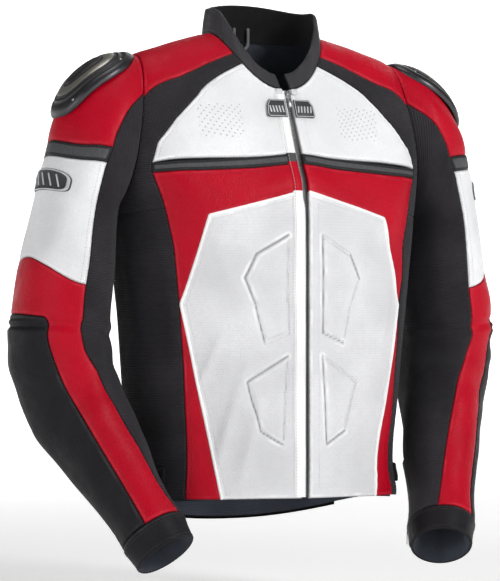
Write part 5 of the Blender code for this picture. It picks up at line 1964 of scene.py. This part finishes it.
def sleeve_piece(name, grid, side, look, thread, slot, stitches, style, nodes, zone=None, **extra):
    """Panel of a sleeve in the place of these nodes; with a zone, its transform is baked in instead of it
    being attached to the upper sleeve.
    """
    full = name + "_" + suffix(side)
    obj, places = panel(full, ARM, grid, side, finish_of(look, thread), style, stitches, **extra)
    nodes = [node + "_" + suffix(side) for node in nodes]
    if zone:
        blended(obj, side, zone, places, slot, *nodes)
    else:
        put(obj, suffix(side) + "_upper_sleeve", slot, *nodes)


ARM_SPLIT = 5.0


def inner_grid(low, high):
    """Grid over the inner side of the sleeve, from its front seam round to its back seam."""
    places = np.linspace(low, high, 200)
    phi = front_edge(places)
    first = np.stack([phi, places], -1)
    back_phi = np.where(places < 8, 360 - front_seam_phi(places), 270.0)
    second = np.stack([back_phi, places], -1)
    return ruled(ARM, first, second, STEP)


def front_edge(places):
    """Angle of the seam in front of the inner panel, all along the sleeve."""
    lower = np.interp(places, [8.0, 9.0, 10.0, 11.0, 12.0], [90.0, 95.0, 102.5, 110.6, 124.0])
    return np.where(places < 8, front_seam_phi(places), lower)


# Pitch of the pleats above the elbow, in places of the sleeve.
PLEAT_PITCH = 0.42


def elbow_puff(grid, base, distance):
    """The elbow armour shows as a soft swelling, with pleats above it."""
    phi, place = grid[..., 0], grid[..., 1]
    mound = np.exp(-(((phi + 50) / 52) ** 2) - ((place - 9.2) / 1.3) ** 2)
    pleated = smoothstep(place, 7.2, 7.5) * smoothstep(-place, -9.0, -8.3)
    pleats = np.sin((place - 7.0) * 2 * np.pi / PLEAT_PITCH) * pleated
    height = 0.0035 * mound * smoothstep(distance, 0, 0.02)
    return height + 0.0012 * pleats * smoothstep(distance, 0.001, 0.006)


def upper_sleeve(side):
    """The panels from the armhole to the elbow, and the stretch panel inside the whole arm."""
    sleeve_piece("sleeve_head", outer_grid(SLEEVE_TOP, BAND_TOP, STEP), side, "red", "red", "red_leather",
                 [("first", ROW), ("first", SECOND_ROW), ("second", ROW), *END_ROWS], "leather",
                 ["sleeve_head"], "shoulder")
    sleeve_piece("sleeve_band", outer_grid(BAND_TOP, BAND_BOTTOM, STRIP_STEP), side, "band", "black",
                 "black_leather", SIDE_ROWS, "strip", ["sleeve_band"])
    sleeve_piece("upper_arm_panel", outer_grid(BAND_BOTTOM, WHITE_BOTTOM, STEP), side, "white", "white",
                 "white_leather", [*SIDE_ROWS, *END_ROWS, ("end", SECOND_ROW)], "leather",
                 ["upper_arm_panel"])
    # The inner panel is split in two halves; the split has no edge.
    for half, low, high, nodes, zone, edge in (
        ("upper", 0.0, ARM_SPLIT, [], "shoulder", "end"),
        ("lower", ARM_SPLIT, CUFF_PLACE, ["inner_arm_stretch_panel"], "elbow", "start"),
    ):
        sleeve_piece("inner_arm_" + half, inner_grid(low, high), side, "stretch", "black", "black_stretch",
                     SIDE_ROWS, "stretch", nodes, zone, skirt=0.0012, open_edge=edge)


STRIPE_INNER = [(-90.0, 7.1), (0.0, 7.1), (45.0, 7.2), (50.0, 7.6), (50.0, 9.0), (50.0, 12.0)]


def lower_sleeve(side):
    """The red panel from the elbow down the front of the forearm, and the black one behind it."""
    inner = softened(straight(STRIPE_INNER, [9, 4, 1, 3, 9]), 40)
    top = across_sleeve(WHITE_BOTTOM)
    places = np.linspace(float(top[-1, 1]), CUFF_PLACE, 300)
    side_line = np.stack([front_edge(places), places], -1)
    outer = joined((top, 13), (side_line, 13))
    sleeve_piece("elbow_stripe", ruled(ARM, inner, outer, STEP), side, "red", "red", "red_leather",
                 [("first", ROW), ("first", SECOND_ROW), ("second", ROW)], "leather",
                 ["elbow_panel", "forearm_stripe"], "elbow")
    second = inner[9 * SEAM_POINTS :]
    first = np.stack([np.full(300, -90.0), np.linspace(STRIPE_INNER[0][1], CUFF_PLACE, 300)], -1)
    sleeve_piece("forearm_panel_outer", ruled(ARM, first, second, STEP), side, "black", "black",
                 "black_leather", [*SIDE_ROWS, ("start", ROW)], "leather",
                 ["forearm_panel", "elbow_gusset"], "elbow", relief=elbow_puff)


# Rows of the cuff: how far along it they lie, and their height above the sleeve.
CUFF_SHARES = (0.0, 0.02, 0.06, 0.14, 0.3, 0.5, 0.7, 0.84, 0.92, 0.97, 1.0)
CUFF_LIFTS = (-0.0012, -0.0002, 0.0005, 0.0010, 0.0013, 0.0013, 0.0012, 0.0009, 0.0012, 0.0012, 0.0004)
CUFF_THICKNESS = 0.0030
CUFF_LINING_REACH = 3.2
CUFF_CALM_PLACE = 12.8


def cuff_fold(phis, places, side):
    """Folds of the sleeve, which die out along the cuff."""
    grid = np.stack(np.broadcast_arrays(phis, places), -1)
    return ARM.fold(grid, side) * (1 - smoothstep(places, CUFF_PLACE, CUFF_CALM_PLACE))


def cuff(side):
    """Leather cuff with a turned rim, and the lining that shows inside it."""
    name = suffix(side)
    phis = circle(96, 360)
    places = CUFF_PLACE + np.array(CUFF_SHARES)
    lift = np.array(CUFF_LIFTS)
    grid = table(phis, places)
    base, out = sleeve(grid[..., 0], grid[..., 1]), sleeve_normal(grid[..., 0], grid[..., 1])
    fold = cuff_fold(phis[None, :], places[:, None], side)
    outer = base + out * (lift[:, None] + fold)[..., None]
    run = FOREARM_DIRECTION
    rim = outer[-1] - out[-1] * CUFF_THICKNESS / 2 + run * 0.0012
    turned = outer[-1] - out[-1] * CUFF_THICKNESS
    rows = np.concatenate([outer, rim[None], turned[None]])
    mesh = Mesh()
    seam = np.concatenate([np.abs(places - CUFF_PLACE) * 0.036, [0.02, 0.02]])
    quads = facing(grid_quads(len(rows), len(phis), True), rows, 5 * len(phis), out[5, 0])
    uv = ARM.uv(grid)
    uv = np.concatenate([uv, uv[-1:] + 0.001, uv[-1:] + 0.002])
    mesh.add(rows, quads, 0, uv, np.repeat(seam[:, None], len(phis), 1))
    inside = np.linspace(SLEEVE_END, SLEEVE_END - CUFF_LINING_REACH, 30)
    grid = table(phis, inside)
    base, out = sleeve(grid[..., 0], grid[..., 1]), sleeve_normal(grid[..., 0], grid[..., 1])
    depth = np.interp(SLEEVE_END - inside, [0.0, 0.5, CUFF_LINING_REACH], [0.0026, 0.0085, 0.0095])
    wave = 0.0010 * np.sin(np.radians(phis) * 7)[None, :]
    wave = wave * np.clip((SLEEVE_END - inside) * 2, 0, 1)[:, None]
    lining = base - out * (depth[:, None] + wave)[..., None]
    quads = facing(grid_quads(len(inside), len(phis), True), lining, 5 * len(phis), out[5, 0])
    mesh.add(lining, quads, 1, ARM.uv(grid))
    loop = np.concatenate([phis, phis[:1]])
    for place, height in ((12.12, 0.0010), (12.22, 0.0013), (12.90, 0.0012)):
        normal = sleeve_normal(loop, place)
        fold = cuff_fold(loop, place, side)
        add_stitches(mesh, sleeve(loop, place) + normal * (height + fold)[:, None], normal, 2)
    cuff_zip(mesh, side)
    finish = looks("black", "lining", "thread_black", "tape", "zip_metal")
    obj = mesh.make("cuff_leather_" + name, finish, side)
    put(obj, name + "_forearm", "black_leather", "cuff_" + name)


CUFF_ZIP_PLACES = (10.9, 12.96)
CUFF_TOOTH_PITCH = 0.0016
CUFF_TOOTH = [(-0.0014, -0.0005), (0.0014, -0.0005), (0.0014, 0.0005), (-0.0014, 0.0005)]


def cuff_zip(mesh, side):
    """Closed zip on the inner back of the cuff: a tape with its teeth."""
    places = np.linspace(*CUFF_ZIP_PLACES, 60)
    centre = sleeve(CUFF_ZIP_PHI, places)
    out = sleeve_normal(CUFF_ZIP_PHI, places)
    run = unit(np.gradient(centre, axis=0))
    across = np.cross(run, out)
    profile = [(-0.0060, -0.0005), (-0.0058, 0.0016), (-0.0018, 0.0020), (0.0018, 0.0020), (0.0058, 0.0016),
               (0.0060, -0.0005)]
    fold = cuff_fold(CUFF_ZIP_PHI, places, side)
    rows = np.stack([centre + across * x + out * (h + fold[:, None] + 0.0006) for x, h in profile], 1)
    mesh.add(rows, facing(grid_quads(*rows.shape[:2]), rows, 2, out[0]), 3)
    total = lengths(centre)
    for k, reach in enumerate(np.arange(0.002, total[-1] - 0.001, CUFF_TOOTH_PITCH)):
        spot, outward, along_zip = (read_line(reach, total, line) for line in (centre, out, run))
        lift = 0.0030 + np.interp(reach, total, fold)
        sideways = np.cross(along_zip, outward)
        spot = spot + outward * lift + sideways * (0.0008 if k % 2 else -0.0008)
        add_plate(mesh, spot, (unit(sideways), along_zip, outward), CUFF_TOOTH, 0.0012, 0.0002, 4)


SLEEVE_LINING_DEPTH = 0.0100


def sleeve_lining(side):
    """Lining tube of the sleeve, in two lengths."""
    for name, low, high, zone in (("upper", 0.05, 5.2, "shoulder"), ("lower", 5.0, 9.9, "elbow")):
        grid = table(circle(48, 360), np.linspace(low, high, 26))
        base, out = sleeve(grid[..., 0], grid[..., 1]), sleeve_normal(grid[..., 0], grid[..., 1])
        mesh = Mesh()
        mesh.add(base - out * SLEEVE_LINING_DEPTH, grid_quads(*base.shape[:2], True), 0, ARM.uv(grid))
        obj = mesh.make("sleeve_lining_" + name + "_" + suffix(side), looks("lining"), side)
        blended(obj, side, zone, grid[..., 1], "lining")


CUP_START = 0.12
CUP_END = 3.15
CUP_HALF_ANGLE = 37.0
# Exponent that squares off its oval, and the size and share of the reach of its rivets.
CUP_POWER = 2 / 2.6
RIVET_RADIUS = 0.0020
RIVET_SHARE = 0.885
CUP_CROWN = 0.0022
CUP_LIFT = 0.0030
# Rings of the cup from its middle to its rim: share of the reach, height above its base, look.
CUP_RINGS = [
    (0.00, 0.0040, 2), (0.10, 0.0040, 2), (0.17, 0.0041, 2), (0.20, 0.0062, 1), (0.23, 0.0065, 1),
    (0.34, 0.0064, 1), (0.37, 0.0060, 1), (0.39, 0.0044, 2), (0.44, 0.0042, 2), (0.46, 0.0058, 0),
    (0.48, 0.0062, 0), (0.56, 0.0060, 0), (0.63, 0.0056, 0), (0.66, 0.0044, 2), (0.68, 0.0043, 2),
    (0.70, 0.0056, 1), (0.73, 0.0054, 1), (0.75, 0.0040, 2), (0.79, 0.0038, 2), (0.81, 0.0050, 1),
    (0.85, 0.0052, 1), (0.93, 0.0040, 1), (0.975, 0.0022, 1), (1.00, 0.0000, 1), (1.00, -0.0018, 1),
]


def shoulder_cup(side):
    """Hard cup of the shoulder: stepped oval rings round a dark slot, with four rivets."""
    turns = circle(96)
    shares, heights, metals = (np.array(column) for column in zip(*CUP_RINGS))
    u, v = signed_power(np.cos(turns), CUP_POWER), signed_power(np.sin(turns), CUP_POWER)
    middle, reach = (CUP_START + CUP_END) / 2, (CUP_END - CUP_START) / 2
    slim = 0.55 + 0.45 * smoothstep(shares, 0.2, 0.5)
    place = middle + reach * shares[:, None] * u[None, :]
    phi = CUP_HALF_ANGLE * (shares * slim)[:, None] * v[None, :] * (1 - 0.14 * u[None, :])
    base, out = sleeve(phi, place), sleeve_normal(phi, place)
    crown = CUP_CROWN * (1 - shares**2)
    points = base + out * (CUP_LIFT + heights + crown)[:, None, None]
    mesh = Mesh()
    quads = facing(grid_quads(len(shares), len(turns), True), points, 12 * len(turns), out[12, 0])
    mesh.add(points, quads, np.repeat(metals[1:], len(turns)), table(turns * 0.05, shares * 0.06))
    rivet = [(RIVET_RADIUS * math.cos(t), RIVET_RADIUS * math.sin(t)) for t in circle(12)]
    for turn in circle(4) + math.pi / 4:
        place = np.array(middle + reach * RIVET_SHARE * math.cos(turn))
        phi = np.array(CUP_HALF_ANGLE * RIVET_SHARE * math.sin(turn))
        spot, up = sleeve(phi, place), sleeve_normal(phi, place)
        across = unit(np.cross(up, [0, 0, 1.0]))
        axes = (across, np.cross(up, across), up)
        add_plate(mesh, spot + up * 0.0080, axes, rivet, 0.0014, 0.0004, crown=0.0004)
    obj = mesh.make("shoulder_cup_plate_" + suffix(side), looks("cup_light", "cup_dark", "cup_black"), side)
    put(obj, suffix(side) + "_upper_sleeve", "cup_metal", "shoulder_cup_" + suffix(side))


PATCH_MIDDLE_PHI, PATCH_HALF_PHI = 6.0, 42.0
PATCH_MIDDLE_PLACE, PATCH_HALF_PLACE = 4.685, 0.265
# Rings of the patch from its middle to its rim, given as those of the cup.
PATCH_RINGS = [
    (0.00, 0.0022, 0), (0.30, 0.0022, 0), (0.60, 0.0022, 0), (0.84, 0.0022, 0), (0.87, 0.0030, 1),
    (0.93, 0.0030, 1), (0.96, 0.0022, 1), (1.00, 0.0016, 0), (1.00, -0.0008, 0),
]


def sleeve_patch(side):
    """Moulded patch on the white panel of the sleeve, with a light rim and plain slanted bars."""
    shares, heights, rubbers = (np.array(column) for column in zip(*PATCH_RINGS))
    turns = circle(96)
    u, v = signed_power(np.cos(turns), 0.5), signed_power(np.sin(turns), 0.5)
    phi = PATCH_MIDDLE_PHI + PATCH_HALF_PHI * shares[:, None] * u
    place = PATCH_MIDDLE_PLACE + PATCH_HALF_PLACE * shares[:, None] * v
    grid = np.stack([phi, place], -1)
    lift = heights[:, None] + ARM.fold(grid, side) + 0.0006
    base, out = sleeve(phi, place), sleeve_normal(phi, place)
    points = base + out * lift[..., None]
    mesh = Mesh()
    quads = facing(grid_quads(len(shares), len(turns), True), points, 2 * len(turns), out[2, 0])
    mesh.add(points, quads, np.repeat(rubbers[1:], len(turns)), ARM.uv(grid))
    for k in range(5):
        first = PATCH_MIDDLE_PHI - 26 + 12 * k
        rows = np.linspace(-0.14, 0.14, 9)
        line_phi = first + rows * 25
        line_place = PATCH_MIDDLE_PLACE + rows
        spots = sleeve(line_phi, line_place)
        normals = sleeve_normal(line_phi, line_place)
        fold = ARM.fold(np.stack([line_phi, line_place], -1), side)
        add_tube(mesh, spots + normals * (0.0030 + fold)[:, None], 0.0013, 1, 8)
    obj = mesh.make("sleeve_patch_moulded_" + suffix(side), looks("patch", "patch_light"), side)
    put(obj, suffix(side) + "_upper_sleeve", "soft_patch", "sleeve_patch_" + suffix(side))


# ---------------------------------------------------------------- scene

CAMERA_TURN = math.radians(26.5)
CAMERA_DISTANCE = 4.5
CAMERA_HEIGHT = -0.3864
AIM_SIDE = -0.0153
AIM_HEIGHT = -0.3176
LENS = 200.6
FLOOR_HEIGHT = -0.76
FLOOR_GLOW = 0.95
# Share of the glow near the middle: a painted shadow under the jacket.
NEAR_GLOW_SHADOW = 0.30


def studio_paint(name, colour):
    """Pale paint that glows more the farther it lies from the middle; the dimmer glow near the middle lights
    the jacket less from below and is a painted shadow under it.
    """
    paint = Paint(name, Specular_IOR_Level=0.2)
    place = paint.node("TexCoord", "Object")
    tone = paint.mix(paint.noise(3.0, 2.0, place), scaled(colour, 0.99), colour)
    paint.colour(tone)
    paint.roughness(paint.map(paint.noise(6.0, 2.0, place), 0.3, 0.7, 0.85, 0.95))
    apart = paint.node("SeparateXYZ", 0, inputs={0: place}).node
    flat = [paint.sum("MULTIPLY", apart.outputs[axis], apart.outputs[axis]) for axis in (0, 1)]
    away = paint.sum("SQRT", paint.sum("ADD", *flat))
    glow = paint.mix(paint.map(away, 0.8, 4.5), scaled(colour, NEAR_GLOW_SHADOW), colour)
    paint.links.new(glow, paint.shader.inputs["Emission Color"])
    paint.shader.inputs["Emission Strength"].default_value = FLOOR_GLOW
    return paint.material


WALL_RADIUS = 12.0
WALL_TOP = 1.5
WALL_CURVE = 1.0


def studio():
    """Pale round floor that curves up into a far wall, the same from every side."""
    bend = np.linspace(0, math.pi / 2, 8)
    profile = [(radius, FLOOR_HEIGHT) for radius in (0.02, 1.0, 3.0, 6.0)]
    profile += [(WALL_RADIUS - WALL_CURVE * (1 - math.sin(t)), FLOOR_HEIGHT + WALL_CURVE * (1 - math.cos(t)))
                for t in bend]
    profile.append((WALL_RADIUS, WALL_TOP))
    turns = circle(64)
    rows = [np.stack([radius * np.cos(turns), radius * np.sin(turns), np.full(len(turns), height)], -1)
            for radius, height in profile]
    mesh = Mesh()
    mesh.add(np.array(rows), grid_quads(len(rows), len(turns), True)[:, ::-1])
    mesh.add_faces([range(len(turns))])
    floor = mesh.make("studio_floor", [studio_paint("studio_white_painted_shadow", (0.93, 0.93, 0.93))])


def area_light(name, place, aim, size, power):
    data = bpy.data.lights.new(name, "AREA")
    data.shape = "DISK"
    data.size = size
    data.energy = power
    lamp = bpy.data.objects.new(name, data)
    lamp.location = place
    lamp.rotation_euler = (Vector(aim) - Vector(place)).to_track_quat("-Z", "Y").to_euler()
    bpy.context.scene.collection.objects.link(lamp)


def lights_and_camera():
    toward = np.array([-math.sin(CAMERA_TURN), -math.cos(CAMERA_TURN), 0.0])
    right = np.array([math.cos(CAMERA_TURN), -math.sin(CAMERA_TURN), 0.0])
    up = np.array([0.0, 0.0, 1.0])
    middle = np.array([0.0, 0.0, -0.3])
    for name, side, front_reach, height, size, power in (
        ("key_light", 1.9, 1.7, 1.3, 0.7, 42.0),
        ("fill_light", -1.9, 2.0, 0.5, 1.4, 11.0),
        ("top_light", -0.2, 0.3, 2.3, 1.2, 12.0),
        ("back_light", 0.6, -2.0, 1.4, 1.8, 12.0),
    ):
        place = middle + right * side + toward * front_reach + up * height
        area_light(name, tuple(place), tuple(middle), size, power)
    world = bpy.data.worlds.new("studio")
    world.use_nodes = True
    world.node_tree.nodes["Background"].inputs["Color"].default_value = (1, 1, 1, 1)
    world.node_tree.nodes["Background"].inputs["Strength"].default_value = 0.15
    bpy.context.scene.world = world
    bpy.context.scene.view_settings.view_transform = "Standard"
    data = bpy.data.cameras.new("camera")
    data.lens = LENS
    camera = bpy.data.objects.new("camera", data)
    place = toward * CAMERA_DISTANCE + up * CAMERA_HEIGHT
    aim = right * AIM_SIDE + up * AIM_HEIGHT
    camera.location = tuple(place)
    camera.rotation_euler = Vector(tuple(aim - place)).to_track_quat("-Z", "Y").to_euler()
    bpy.context.scene.collection.objects.link(camera)
    bpy.context.scene.camera = camera


def pads():
    for name in ("back_protector_pad", "elbow_armour_left", "elbow_armour_right"):
        node = frame["nodes"][name]
        node.data.materials.clear()
        node.data.materials.append(LOOKS["foam"])


def build():
    for side in (1, -1):
        chest_panel(side)
        chest_stripe(side)
        red_front_panel(side)
        abdomen_panel(side)
        abdomen_piping(side)
        side_panel(side)
        raglan_strip(side)
        shoulder_panel(side)
        zip_tape(side)
        chest_patch(side)
        waist_strap(side)
        upper_sleeve(side)
        lower_sleeve(side)
        cuff(side)
        sleeve_lining(side)
        shoulder_cup(side)
        sleeve_patch(side)
    back_of_body()
    collar()
    zip_end_tabs()
    hang_loop()
    placket()
    zip_parts()
    body_lining()
    pads()
    studio()
    lights_and_camera()


build()
